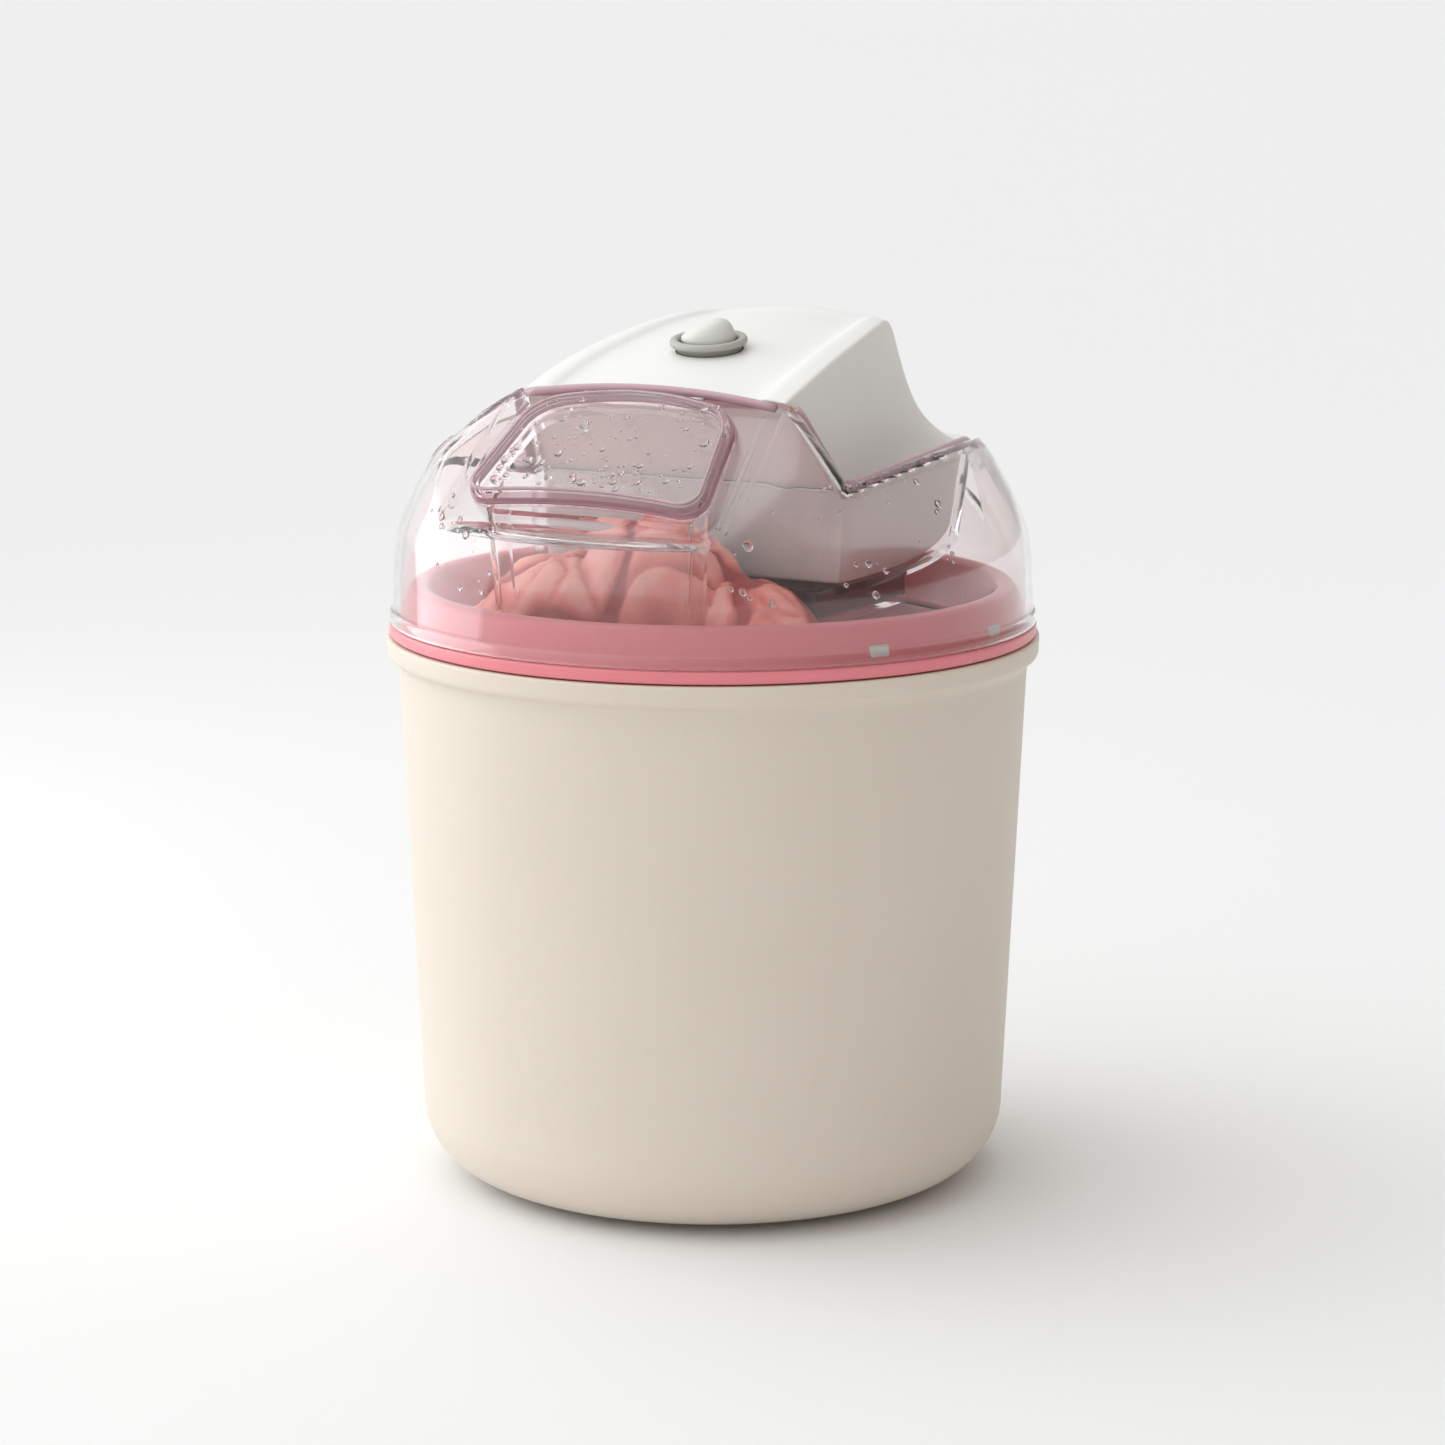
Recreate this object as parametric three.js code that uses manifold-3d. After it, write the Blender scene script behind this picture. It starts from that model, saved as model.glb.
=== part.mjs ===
// Ice cream maker: a freezer bowl in a tub, under a clear domed lid that carries a removable motor unit.
// Millimetres, +Z up, front towards -Y. The origin is on the ground, on the bowl's axis.
import * as THREE from "three";
import { mergeVertices } from "three/addons/utils/BufferGeometryUtils.js";
import Module from "manifold-3d";

const wasm = await Module();
wasm.setup();

// ---- Driving dimensions ----
const ROUND = 40; // facets around the large round pieces
const SMALL_ROUND = 16; // facets around shafts, feet and screws
const GAP = 0.3; // between pieces that touch

const RIM_R = 108; // outer radius of the tub's lip
const TUB = {
  bottom: 2, wall: 2.5, flatR: 75, footZ: 25, footR: 97.5, neckR: 104, neckZ: 173, lipZ: 176, topZ: 182.7,
};
const FLANGE = { r: 107, z0: 183, z1: 187.3 };
const RING = { outerLow: 103.2, outerTop: 101, inner: 93, topZ: 200 };
const BOWL = {
  outerTop: 98, outerBottom: 90, innerTop: 88, innerBottom: 79, wall: 1.6, base: 36, floor: 50, corner: 8,
  shellTop: 182.4, coolantTop: 176,
};
const SEAL = { low: 177, high: 182.2 };
const LID = {
  bottomZ: 187.6, wall: 2.4, facetTopY: -38.6, facetTopZ: 264.6, facetBottomY: -87, facetBottomZ: 226,
  crownZ: 215, topZ: 281.5,
};
const FACET_SLOPE = Math.atan2(LID.facetTopZ - LID.facetBottomZ, LID.facetTopY - LID.facetBottomY);
const HATCH = { low: 7, high: 57, wide: 44, narrow: 39, stand: 7, wall: 2 };
const POCKET = {
  front: -15, floor: 204, halfWidth: 57, apexZ: 234.5, back: 91, backZ: 241.5,
  stepHalf: 46, stepFront: -13, stepBack: 50, stepFloor: 191, clear: 0.6,
};
const HOUSING_WALL = 2.2;
const GEARBOX_MOUTH = { half: 40, front: -9, back: 36 }; // in the lower housing's floor, closed by the cover
const GEARBOX_COVER = { clear: 0.6, wall: 2, boreR: 11.5 };
const HATCH_PIN_R = 1.6;
const GEARS = {
  z: 246, thick: 6, outTeeth: 40, smallTeeth: 12, bigTeeth: 36, bigModule: 0.8, bigZ: 254, bigThick: 5,
};
const IDLER_Y = (GEARS.outTeeth + GEARS.smallTeeth) / 2; // module 1 pair
const MOTOR_Y = IDLER_Y + (GEARS.bigModule * (GEARS.bigTeeth + GEARS.smallTeeth)) / 2;
const PLATE = { z0: 242, z1: 244.4, half: 24, front: -14, back: 66 };
const PADDLE = {
  shaftR: 6, bladeR: 55, low: 53, high: 148, thick: 3, tipZ: 196, tipLength: 10,
  legWidth: 10, legRise: 40, hubHalf: 14, hubRise: 26, webHalf: 8,
};

// ---- Solid helpers ----
function solid(geometry) {
  const g = geometry.index ? geometry.toNonIndexed() : geometry.clone();
  g.deleteAttribute("normal");
  g.deleteAttribute("uv");
  const merged = mergeVertices(g, 1e-3);
  const mesh = new wasm.Mesh({
    numProp: 3,
    vertProperties: merged.attributes.position.array,
    triVerts: new Uint32Array(merged.index.array),
  });
  return new wasm.Manifold(mesh);
}

function geometryOf(made) {
  const m = made.getMesh();
  const g = new THREE.BufferGeometry();
  g.setAttribute("position", new THREE.BufferAttribute(m.vertProperties, 3));
  g.setIndex(new THREE.BufferAttribute(m.triVerts, 1));
  g.computeVertexNormals();
  return g;
}

const root = new THREE.Group();
root.name = "ice_cream_maker";

function add(name, shape, material) {
  const geometry = shape.isBufferGeometry ? shape : geometryOf(shape);
  const mesh = new THREE.Mesh(geometry, material.clone());
  mesh.name = name;
  root.add(mesh);
  return mesh;
}

// A body of revolution about Z from [radius, z] points, listed upwards along the outside.
function lathe(points, segments = ROUND) {
  const g = new THREE.LatheGeometry(points.map(([r, z]) => new THREE.Vector2(r, z)), segments);
  return g.rotateX(Math.PI / 2);
}

function ringLathe(points, segments = ROUND) {
  return lathe([...points, points[0]], segments);
}

function cylinder(r, z0, z1, x = 0, y = 0, segments = SMALL_ROUND) {
  const g = new THREE.CylinderGeometry(r, r, z1 - z0, segments).rotateX(Math.PI / 2);
  return g.translate(x, y, (z0 + z1) / 2);
}

// A cutter for a hole through the whole object, for use where only one piece is cut.
const bore = (r, x = 0, y = 0) => solid(cylinder(r, 0, 320, x, y));

function block(x0, x1, y0, y1, z0, z1) {
  const g = new THREE.BoxGeometry(x1 - x0, y1 - y0, z1 - z0);
  return g.translate((x0 + x1) / 2, (y0 + y1) / 2, (z0 + z1) / 2);
}

// A box whose points (u, v, w), each 0 to 1, are moved to at(u, v, w).
function warped(nu, nv, nw, at) {
  const g = new THREE.BoxGeometry(1, 1, 1, nu, nv, nw);
  const p = g.attributes.position;
  for (let i = 0; i < p.count; i++) {
    p.setXYZ(i, ...at(p.getX(i) + 0.5, p.getY(i) + 0.5, p.getZ(i) + 0.5));
  }
  return g;
}

const lerp = THREE.MathUtils.lerp;

// A smooth curve through [a, b] points, read at t from 0 to 1.
function curve(points) {
  const through = points.map(([a, b]) => new THREE.Vector3(a, b, 0));
  const spline = new THREE.CatmullRomCurve3(through, false, "centripetal");
  return (t) => {
    const p = spline.getPoint(t);
    return [p.x, p.y];
  };
}

// ---- Materials ----
function plastic(color, roughness = 0.4, extra = {}) {
  return new THREE.MeshStandardMaterial({ color, roughness, metalness: 0, ...extra });
}
const CREAM = plastic(0xeeebe2, 0.45);
const WHITE = plastic(0xf4f4f2, 0.35);
const PINK = plastic(0xdd8f98, 0.3);
const CLEAR = plastic(0xe9c8cb, 0.08, { transparent: true, opacity: 0.4 });
const GREY = plastic(0xa9a8a0, 0.4);
const ROCKER = plastic(0xd6d7d1, 0.4);
const DARK = plastic(0x6d646c, 0.5);
const RUBBER = plastic(0xe4ddd2, 0.8);
const GEL = plastic(0xbfd8e6, 0.6);
const NYLON = plastic(0xf2efe6, 0.5);
const ICE = plastic(0xe8a49d, 0.6);
const STEEL = new THREE.MeshStandardMaterial({ color: 0xb9bcc0, roughness: 0.3, metalness: 1 });
const BRASS = new THREE.MeshStandardMaterial({ color: 0xb99a55, roughness: 0.35, metalness: 1 });

// ---- Tub and feet ----
function cornerArc(r0, z0, r1, z1, steps) {
  return Array.from({ length: steps + 1 }, (_, i) => {
    const a = (i / steps) * (Math.PI / 2);
    return [r0 + (r1 - r0) * Math.sin(a), z1 + (z0 - z1) * Math.cos(a)];
  });
}

function tub() {
  const t = TUB;
  const outside = [
    [0, t.bottom],
    ...cornerArc(t.flatR, t.bottom, t.footR, t.footZ, 5),
    [t.neckR, t.neckZ],
    [t.neckR + 0.6, t.lipZ - 1.6],
    [RIM_R, t.lipZ],
    [RIM_R, t.topZ],
  ];
  const inside = [
    [t.neckR - t.wall + 0.8, t.topZ],
    [t.neckR - t.wall, t.neckZ],
    ...cornerArc(t.flatR, t.bottom + t.wall, t.footR - t.wall, t.footZ, 5).reverse(),
    [0, t.bottom + t.wall],
  ];
  return lathe([...outside, ...inside]);
}
add("outer_housing", solid(tub()), CREAM);

const FOOT = { r: 7, ring: 62 };
const FOOT_PLACES = { front_left: 225, front_right: 315, rear_left: 135, rear_right: 45 };
const footOf = (angle) => {
  const a = THREE.MathUtils.degToRad(angle);
  return [FOOT.ring * Math.cos(a), FOOT.ring * Math.sin(a)];
};
for (const [place, angle] of Object.entries(FOOT_PLACES)) {
  const [x, y] = footOf(angle);
  add("foot_" + place, solid(cylinder(FOOT.r, 0, TUB.bottom - GAP, x, y)), RUBBER);
}

// ---- Freezer bowl: two shells with a coolant filling, closed by the pink ring ----
function shell(topR, bottomR, base) {
  const { corner, wall, shellTop } = BOWL;
  return lathe([
    [0, base],
    [bottomR - corner, base],
    [bottomR, base + corner],
    [topR, shellTop],
    [topR - wall, shellTop],
    [bottomR - wall, base + corner + wall],
    [bottomR - corner - wall, base + wall],
    [0, base + wall],
  ]);
}
add("bowl_outer_shell", solid(shell(BOWL.outerTop, BOWL.outerBottom, BOWL.base)), PINK);
add("bowl_inner_shell", solid(shell(BOWL.innerTop, BOWL.innerBottom, BOWL.floor)), PINK);

function coolant() {
  const b = BOWL;
  const bottom = b.base + b.wall + GAP;
  const outR = (r) => r - b.wall - GAP;
  const inR = (r) => r + GAP;
  return lathe([
    [0, bottom],
    [outR(b.outerBottom) - b.corner, bottom],
    [outR(b.outerBottom), bottom + b.corner],
    [outR(b.outerTop) - GAP, b.coolantTop],
    [inR(b.innerTop), b.coolantTop],
    [inR(b.innerBottom) + GAP, b.floor + b.corner],
    [inR(b.innerBottom) - b.corner, b.floor - GAP],
    [0, b.floor - GAP],
  ]);
}
add("coolant_gel", solid(coolant()), GEL);

function bowlSeal() {
  const inside = BOWL.innerTop + GAP;
  const outside = BOWL.outerTop - BOWL.wall - 2 * GAP;
  return ringLathe([
    [inside, SEAL.low],
    [outside, SEAL.low],
    [outside, SEAL.high],
    [inside, SEAL.high],
  ]);
}
add("bowl_seal", solid(bowlSeal()), RUBBER);

function bowlRing() {
  const r = RING;
  return ringLathe([
    [BOWL.innerTop - BOWL.wall, FLANGE.z0],
    [FLANGE.r, FLANGE.z0],
    [FLANGE.r, FLANGE.z1],
    [r.outerLow, FLANGE.z1],
    [r.outerTop, r.topZ - 3],
    [r.outerTop - 2.2, r.topZ - 0.5],
    [r.outerTop - 4.2, r.topZ],
    [r.inner + 2.2, r.topZ],
    [r.inner, r.topZ - 3],
    [BOWL.innerTop, BOWL.shellTop + 4],
  ]);
}
add("bowl_ring", solid(bowlRing()), PINK);

// ---- Paddle ----
const HEX_R = 4;
function paddle() {
  const p = PADDLE;
  const frame = new THREE.Shape();
  frame.moveTo(-p.bladeR, p.low);
  frame.lineTo(p.bladeR, p.low);
  frame.lineTo(p.bladeR, p.high);
  frame.lineTo(p.bladeR - p.legWidth, p.high);
  frame.lineTo(p.bladeR - p.legWidth, p.low + p.legRise);
  frame.lineTo(p.hubHalf, p.low + p.hubRise);
  frame.lineTo(p.webHalf, p.high);
  frame.lineTo(-p.webHalf, p.high);
  frame.lineTo(-p.hubHalf, p.low + p.hubRise);
  frame.lineTo(-p.bladeR + p.legWidth, p.low + p.legRise);
  frame.lineTo(-p.bladeR + p.legWidth, p.high);
  frame.lineTo(-p.bladeR, p.high);
  const blades = new THREE.ExtrudeGeometry(frame, { depth: p.thick, bevelEnabled: false });
  blades.rotateX(Math.PI / 2).translate(0, p.thick / 2, 0);
  const column = cylinder(p.shaftR, p.low, p.tipZ - p.tipLength);
  const tip = cylinder(HEX_R, p.tipZ - p.tipLength - 1, p.tipZ, 0, 0, 6);
  return solid(blades).add(solid(column)).add(solid(tip));
}
add("paddle", paddle(), NYLON);

// ---- Ice cream batch: frozen against the wall, heaped towards the front ----
const BATCH = {
  boreR: 13, lowBoreR: 59, low: 100, high: 152, level: 178, sag: 6, clear: 0.8, topRings: 8,
  centreY: -44, peak: 238, spreadX: 38, spreadY: 23, heapStart: 12, heapFull: 26,
};
function batchTop(x, y) {
  const b = BATCH;
  const heap = Math.exp(-((x / b.spreadX) ** 2) - ((y - b.centreY) / b.spreadY) ** 2);
  const level = b.level - b.sag * (Math.hypot(x, y) / BOWL.innerTop) ** 4;
  return level + (b.peak - b.level) * heap * THREE.MathUtils.smoothstep(-y, b.heapStart, b.heapFull);
}
function iceCream() {
  const b = BATCH;
  const wallLow = BOWL.floor + BOWL.corner;
  const rise = (z) => (z - wallLow) / (BOWL.shellTop - wallLow);
  const outer = (z) => lerp(BOWL.innerBottom, BOWL.innerTop, rise(z)) - BOWL.wall - b.clear;
  const topRadius = (_, i) => lerp(outer(b.level), b.boreR, i / b.topRings);
  const topRadii = Array.from({ length: b.topRings + 1 }, topRadius);
  const profile = [
    [b.lowBoreR, b.low],
    [outer(b.low), b.low],
    ...topRadii.map((r) => [r, b.level]),
    [b.boreR, b.high],
    [b.lowBoreR, b.high],
  ];
  const g = ringLathe(profile, 32);
  const p = g.attributes.position;
  for (let i = 0; i < p.count; i++) {
    if (p.getZ(i) > b.level - 1) p.setZ(i, batchTop(p.getX(i), p.getY(i)));
  }
  return g;
}
add("ice_cream", solid(iceCream()), ICE);

// ---- Motor unit's outer form, used for the housings and for the pocket in the lid ----
// Three curves run from front to back in the plane x = 0, as [y, z]: the pocket floor, the line where
// the lid's edge meets the side, and the crown. Half widths go with them: the crown's are [step, half width],
// one step for each of the crown line's points, narrow where the switch sits back and wide at the tail.
const crownLine = curve([
  [-38.6, 268.4], [-19, 275], [0, 279.6], [20, 283.6], [36, 286.2], [50, 287], [60, 285.6],
  [66, 281], [67.6, 272], [67.4, 264], [69.5, 256], [75, 249.5], [83, 245.5], [90, 243.2],
]);
const crownHalf = curve([
  [0, 48.5], [1, 48.3], [2, 46.2], [3, 44], [4, 41.4], [5, 37.2], [6, 34], [7, 32.6],
  [8, 34], [9, 36.6], [10, 41], [11, 46], [12, 51], [13, 54],
]);
const edgeLine = (t) => [lerp(POCKET.front, POCKET.back, t), lerp(POCKET.apexZ, POCKET.backZ, t)];
const edgeHalf = (t) => POCKET.halfWidth - 3 * t ** 3;
const floorLine = (t) => [lerp(POCKET.front, POCKET.back - 15, t), POCKET.floor + 10 * t ** 4];
const FLOOR_NARROWER = 2;
const CROWN_RISE = 4.2;
const CORNER_TURN = 0.16; // how far the back corners turn in

// Levels run from 0 at the floor, through 1 at the lid's edge, to 2 at the crown.
function motorForm(grow, low, high) {
  const bends = low < 1 && high > 1;
  return warped(6, 20, bends ? 2 : 1, (u, v, w) => {
    const s = 2 * u - 1;
    const level = bends ? (w < 0.5 ? lerp(low, 1, 2 * w) : lerp(1, high, 2 * w - 1)) : lerp(low, high, w);
    const [fy, fz] = floorLine(v);
    const [ey, ez] = edgeLine(v);
    const [cy, cz] = crownLine(v);
    const half = level < 1
      ? lerp(POCKET.halfWidth - FLOOR_NARROWER, edgeHalf(v), level)
      : lerp(edgeHalf(v), crownHalf(v)[1], level - 1);
    const arch = CROWN_RISE * s * s * Math.max(0, level - 1);
    const y = level < 1 ? lerp(fy, ey, level) : lerp(ey, cy, level - 1);
    const z = level < 1 ? lerp(fz, ez, level) : lerp(ez, cz, level - 1);
    const round = 1 - CORNER_TURN * Math.abs(s * v) ** 6;
    return [s * (half + grow), (y + lerp(-grow, grow, v)) * round, z - arch + lerp(-grow, grow, level / 2)];
  });
}

const SPLIT_GAP = 0.006; // of a level, keeps the two housings apart
const upperOuter = solid(motorForm(0, 1 + SPLIT_GAP, 2));
const upperInner = solid(motorForm(-HOUSING_WALL, 0.9, 2));
const lowerOuter = solid(motorForm(0, 0, 1 - SPLIT_GAP));
const lowerInner = solid(motorForm(-HOUSING_WALL, 0, 1.1));

// ---- Lid ----
const domeOutside = [
  [107, LID.bottomZ], [107, 190], [105.8, 192], [105, 208.7], [103.8, 216.8], [100.8, 225],
  [96.8, 233], [90.5, 243.4], [82.2, 251], [72, 259.4], [63, 265.5], [45, 274], [24, 279.4], [0, LID.topZ],
];
function domeSolid(inset) {
  const sink = (z) => inset * Math.max(0, (z - LID.crownZ) / (LID.topZ - LID.crownZ));
  const profile = domeOutside.map(([r, z]) => [Math.max(0, r - inset), z - sink(z)]);
  if (inset > 0) profile[0][1] = LID.bottomZ - 1;
  return solid(lathe([[0, profile[0][1]], ...profile]));
}

// Lays an outline drawn as (y, z) in the side view, extruded across X.
const ACROSS = new THREE.Matrix4().makeBasis(
  new THREE.Vector3(0, 1, 0), new THREE.Vector3(0, 0, 1), new THREE.Vector3(1, 0, 0),
);

// Everything in front of and above the slanting front facet and its ledge.
function facetCutter(inset) {
  const far = 200;
  const shape = new THREE.Shape();
  const drop = inset / Math.cos(FACET_SLOPE);
  shape.moveTo(-far, LID.facetBottomZ - inset);
  shape.lineTo(LID.facetBottomY + inset * 0.4, LID.facetBottomZ - inset);
  shape.lineTo(LID.facetTopY + far, LID.facetTopZ - drop + far * Math.tan(FACET_SLOPE));
  shape.lineTo(-far, LID.facetTopZ + far);
  const g = new THREE.ExtrudeGeometry(shape, { depth: 2 * far, bevelEnabled: false });
  return solid(g.applyMatrix4(ACROSS).translate(-far, 0, 0));
}

// The notch at each side, between the motor unit's flank and the dome, leaves the flank open to the fingers.
// Its two planes meet in a line through the apex that runs along NOTCH_OUT.
const APEX = [POCKET.halfWidth, POCKET.front, POCKET.apexZ];
const NOTCH_OUT = new THREE.Vector3(0.5, -0.85, 0.17);
function notch(side, inset) {
  const apex = new THREE.Vector3(...APEX);
  const front = new THREE.Vector3(50, LID.facetTopY + 1, LID.facetTopZ + 1).sub(apex);
  const tail = new THREE.Vector3(2, 100, 8);
  const reach = 3;
  const corners = [];
  for (const along of [-0.6, 2.5]) {
    const base = apex.clone().addScaledVector(NOTCH_OUT, along * 60).add(new THREE.Vector3(0, 0, -inset));
    corners.push(base, base.clone().addScaledVector(front, reach), base.clone().addScaledVector(tail, reach));
  }
  const place = (p) => [p.x, p.y, p.z];
  const g = warped(1, 1, 1, (u, v, w) => {
    const near = corners.slice(3 * Math.round(u), 3 * Math.round(u) + 3);
    if (v < 0.5 && w < 0.5) return place(near[0]);
    if (v < 0.5) return place(near[1]);
    if (w < 0.5) return place(near[2]);
    return place(near[1].clone().add(near[2]).sub(near[0]));
  });
  const made = solid(g);
  return side > 0 ? made : made.mirror([1, 0, 0]);
}

// The way in for the motor unit, above the line of its edge.
function motorWell() {
  const { front, back, backZ, apexZ, halfWidth, clear } = POCKET;
  const half = halfWidth + clear;
  const above = LID.topZ + 20;
  const shape = new THREE.Shape();
  shape.moveTo(LID.facetTopY - clear, above);
  shape.lineTo(LID.facetTopY - clear, LID.facetTopZ + 1);
  shape.lineTo(front - clear, apexZ);
  shape.lineTo(back + 5, backZ);
  shape.lineTo(back + 5, above);
  const g = new THREE.ExtrudeGeometry(shape, { depth: 2 * half, bevelEnabled: false });
  return solid(g.applyMatrix4(ACROSS).translate(-half, 0, 0));
}

function lidForm(inset) {
  return domeSolid(inset).subtract(facetCutter(inset)).subtract(notch(1, inset)).subtract(notch(-1, inset));
}

const lidOuter = lidForm(0);
const lidInner = lidForm(LID.wall);
const pocketOuter = solid(motorForm(POCKET.clear + LID.wall, 0, 2));
const pocketInner = solid(motorForm(POCKET.clear, 0, 2));
const stepBox = (grow) => solid(block(
  -POCKET.stepHalf - grow, POCKET.stepHalf + grow, POCKET.stepFront - grow, POCKET.stepBack + grow,
  POCKET.stepFloor - grow, POCKET.floor + 4,
));
const facetRun = new THREE.Vector3(0, Math.cos(FACET_SLOPE), Math.sin(FACET_SLOPE));
const facetUp = new THREE.Vector3(0, -Math.sin(FACET_SLOPE), Math.cos(FACET_SLOPE));
const facetOrigin = new THREE.Vector3(0, LID.facetBottomY, LID.facetBottomZ);
const facetFrame = new THREE.Matrix4()
  .makeBasis(new THREE.Vector3(1, 0, 0), facetRun, facetUp)
  .setPosition(facetOrigin);

// The hatch outline on the facet: x across, y up the slope.
function hatchOutline(inset) {
  const h = HATCH;
  const s = new THREE.Shape();
  const low = h.low + inset;
  const high = h.high - inset;
  const corner = Math.max(2, 9 - inset);
  s.moveTo(-h.wide + inset + corner, low);
  s.quadraticCurveTo(0, low + 5, h.wide - inset - corner, low);
  s.quadraticCurveTo(h.wide - inset, low, h.wide - inset, low + corner);
  s.lineTo(h.narrow - inset + 0.6, high - 14);
  s.quadraticCurveTo(h.narrow - inset - 2, high - 4, h.narrow - inset - 13, high - 2);
  s.quadraticCurveTo(0, high + 4, -h.narrow + inset + 13, high - 2);
  s.quadraticCurveTo(-h.narrow + inset + 2, high - 4, -h.narrow + inset - 0.6, high - 14);
  s.lineTo(-h.wide + inset, low + corner);
  s.quadraticCurveTo(-h.wide + inset, low, -h.wide + inset + corner, low);
  return s;
}
function onFacet(outline, from, to) {
  const g = new THREE.ExtrudeGeometry(outline, { depth: to - from, bevelEnabled: false, curveSegments: 5 });
  return g.translate(0, 0, from).applyMatrix4(facetFrame);
}

// Hinge: two knuckles on the lid at the facet's top edge, one on the hatch between them, on one pin.
const HINGE = { s: 58.6, up: 4.6, knuckleR: 3.2, lidOut: 24, lidIn: 13.5, hatchHalf: 13 };
const hingeAxis = new THREE.Vector3(0, HINGE.s, HINGE.up).applyMatrix4(facetFrame);
function alongX(r, x0, x1, segments = SMALL_ROUND) {
  const g = new THREE.CylinderGeometry(r, r, x1 - x0, segments).rotateZ(Math.PI / 2);
  return solid(g.translate((x0 + x1) / 2, hingeAxis.y, hingeAxis.z));
}
const knuckleFoot = (x0, x1) => solid(
  block(x0, x1, HINGE.s - 1.6, HINGE.s + 1.6, -1.4, HINGE.up).applyMatrix4(facetFrame),
);

// A baffle under the hatch's lower edge, which keeps what is poured in away from the dome.
const CHUTE = { half: 38, front: -80, back: -68, low: 190, high: 250, wall: 2 };
const SOCKET_HOLE_R = 10.5; // in the lid, under the drive socket

function lid() {
  const openingInset = HATCH.wall + 1.5;
  let made = lidOuter.subtract(lidInner);
  const c = CHUTE;
  const inHalf = c.half - c.wall;
  const chuteOut = solid(block(-c.half, c.half, c.front, c.back, c.low, c.high));
  const chuteIn = solid(block(-inHalf, inHalf, c.front + c.wall, c.back + 20, c.low - 1, c.high + 1));
  made = made.add(chuteOut.subtract(chuteIn).intersect(lidOuter));
  made = made.add(pocketOuter.intersect(lidOuter));
  made = made.add(stepBox(LID.wall));
  made = made.subtract(pocketInner).subtract(stepBox(0)).subtract(motorWell());
  made = made.subtract(solid(cylinder(SOCKET_HOLE_R, LID.bottomZ - 5, POCKET.floor)));
  made = made.subtract(solid(onFacet(hatchOutline(openingInset), -8, 8)));
  for (const side of [-1, 1]) {
    const [x0, x1] = [side * HINGE.lidIn, side * HINGE.lidOut].sort((a, b) => a - b);
    made = made.add(alongX(HINGE.knuckleR, x0, x1)).add(knuckleFoot(x0, x1));
  }
  return made.subtract(alongX(HATCH_PIN_R + GAP, -30, 30));
}
add("lid_dome", lid(), CLEAR);
add("hatch_pin", alongX(HATCH_PIN_R, -HINGE.lidOut, HINGE.lidOut), STEEL);

function hatch() {
  const skin = solid(onFacet(hatchOutline(0), GAP, HATCH.stand));
  const hollow = solid(onFacet(hatchOutline(HATCH.wall), -1, HATCH.stand - HATCH.wall));
  let made = skin.subtract(hollow);
  const room = block(-HINGE.lidOut - 1, HINGE.lidOut + 1, HINGE.s - 5.2, HINGE.s + 9, -2, 20);
  made = made.subtract(solid(room.applyMatrix4(facetFrame)));
  const { s, up, hatchHalf } = HINGE;
  const arm = block(-hatchHalf, hatchHalf, s - 6.4, s, up - 1.2, up + 2.2);
  made = made.add(solid(arm.applyMatrix4(facetFrame)));
  made = made.add(alongX(HINGE.knuckleR, -HINGE.hatchHalf, HINGE.hatchHalf));
  return made.subtract(alongX(HATCH_PIN_R + GAP, -30, 30));
}
add("filler_hatch", hatch(), CLEAR);

// ---- Motor unit ----
const SWITCH = { y: -3, z: 279.2, halfX: 12.5, halfY: 9.5, tilt: THREE.MathUtils.degToRad(12), depth: 13 };
const switchFrame = new THREE.Matrix4().makeRotationX(SWITCH.tilt).setPosition(0, SWITCH.y, SWITCH.z);
function oval(halfX, halfY, from, to, segments = 24) {
  const g = new THREE.CylinderGeometry(1, 1, to - from, segments).rotateX(Math.PI / 2);
  return g.scale(halfX, halfY, 1).translate(0, 0, (from + to) / 2).applyMatrix4(switchFrame);
}

const GLAND = { r: 5, bore: 3.4, z: 255, flangeR: 7, inside: 59, wallY: 62, out: 87 };
function glandPart(r, y0, y1) {
  return new THREE.CylinderGeometry(r, r, y1 - y0, SMALL_ROUND).translate(0, (y0 + y1) / 2, GLAND.z);
}

const SCREW_PLACES = {
  front_left: [-48, -6], front_right: [48, -6], rear_left: [-40, 42], rear_right: [40, 42],
};
const SCREW = { bossR: 4.2, holeR: 1.9, shankR: 1.5, headR: 3.4, headZ: 3, top: 232 };

function lowerHousing() {
  let made = lowerOuter.subtract(lowerInner);
  const below = POCKET.floor - 5;
  for (const [x, y] of Object.values(SCREW_PLACES)) {
    const boss = solid(cylinder(SCREW.bossR, POCKET.floor + 1, SCREW.top - 3, x, y));
    const headRoom = solid(cylinder(SCREW.headR + 0.5, below, POCKET.floor + SCREW.headZ + 2, x, y));
    made = made.add(boss.intersect(lowerOuter)).subtract(bore(SCREW.holeR, x, y)).subtract(headRoom);
  }
  const m = GEARBOX_MOUTH;
  return made.subtract(solid(block(-m.half, m.half, m.front, m.back, below, POCKET.floor + 5)));
}
add("motor_lower_housing", lowerHousing(), WHITE);

function upperHousing() {
  const hole = solid(oval(SWITCH.halfX + GAP, SWITCH.halfY + GAP, -30, 20));
  const ring = solid(oval(SWITCH.halfX + 3.4, SWITCH.halfY + 3.4, -1.2, 20));
  const cordHole = solid(glandPart(GLAND.r + GAP, GLAND.inside - 5, GLAND.out + 10));
  return upperOuter.subtract(upperInner).subtract(hole).subtract(ring).subtract(cordHole);
}
add("motor_upper_housing", upperHousing(), WHITE);

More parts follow.
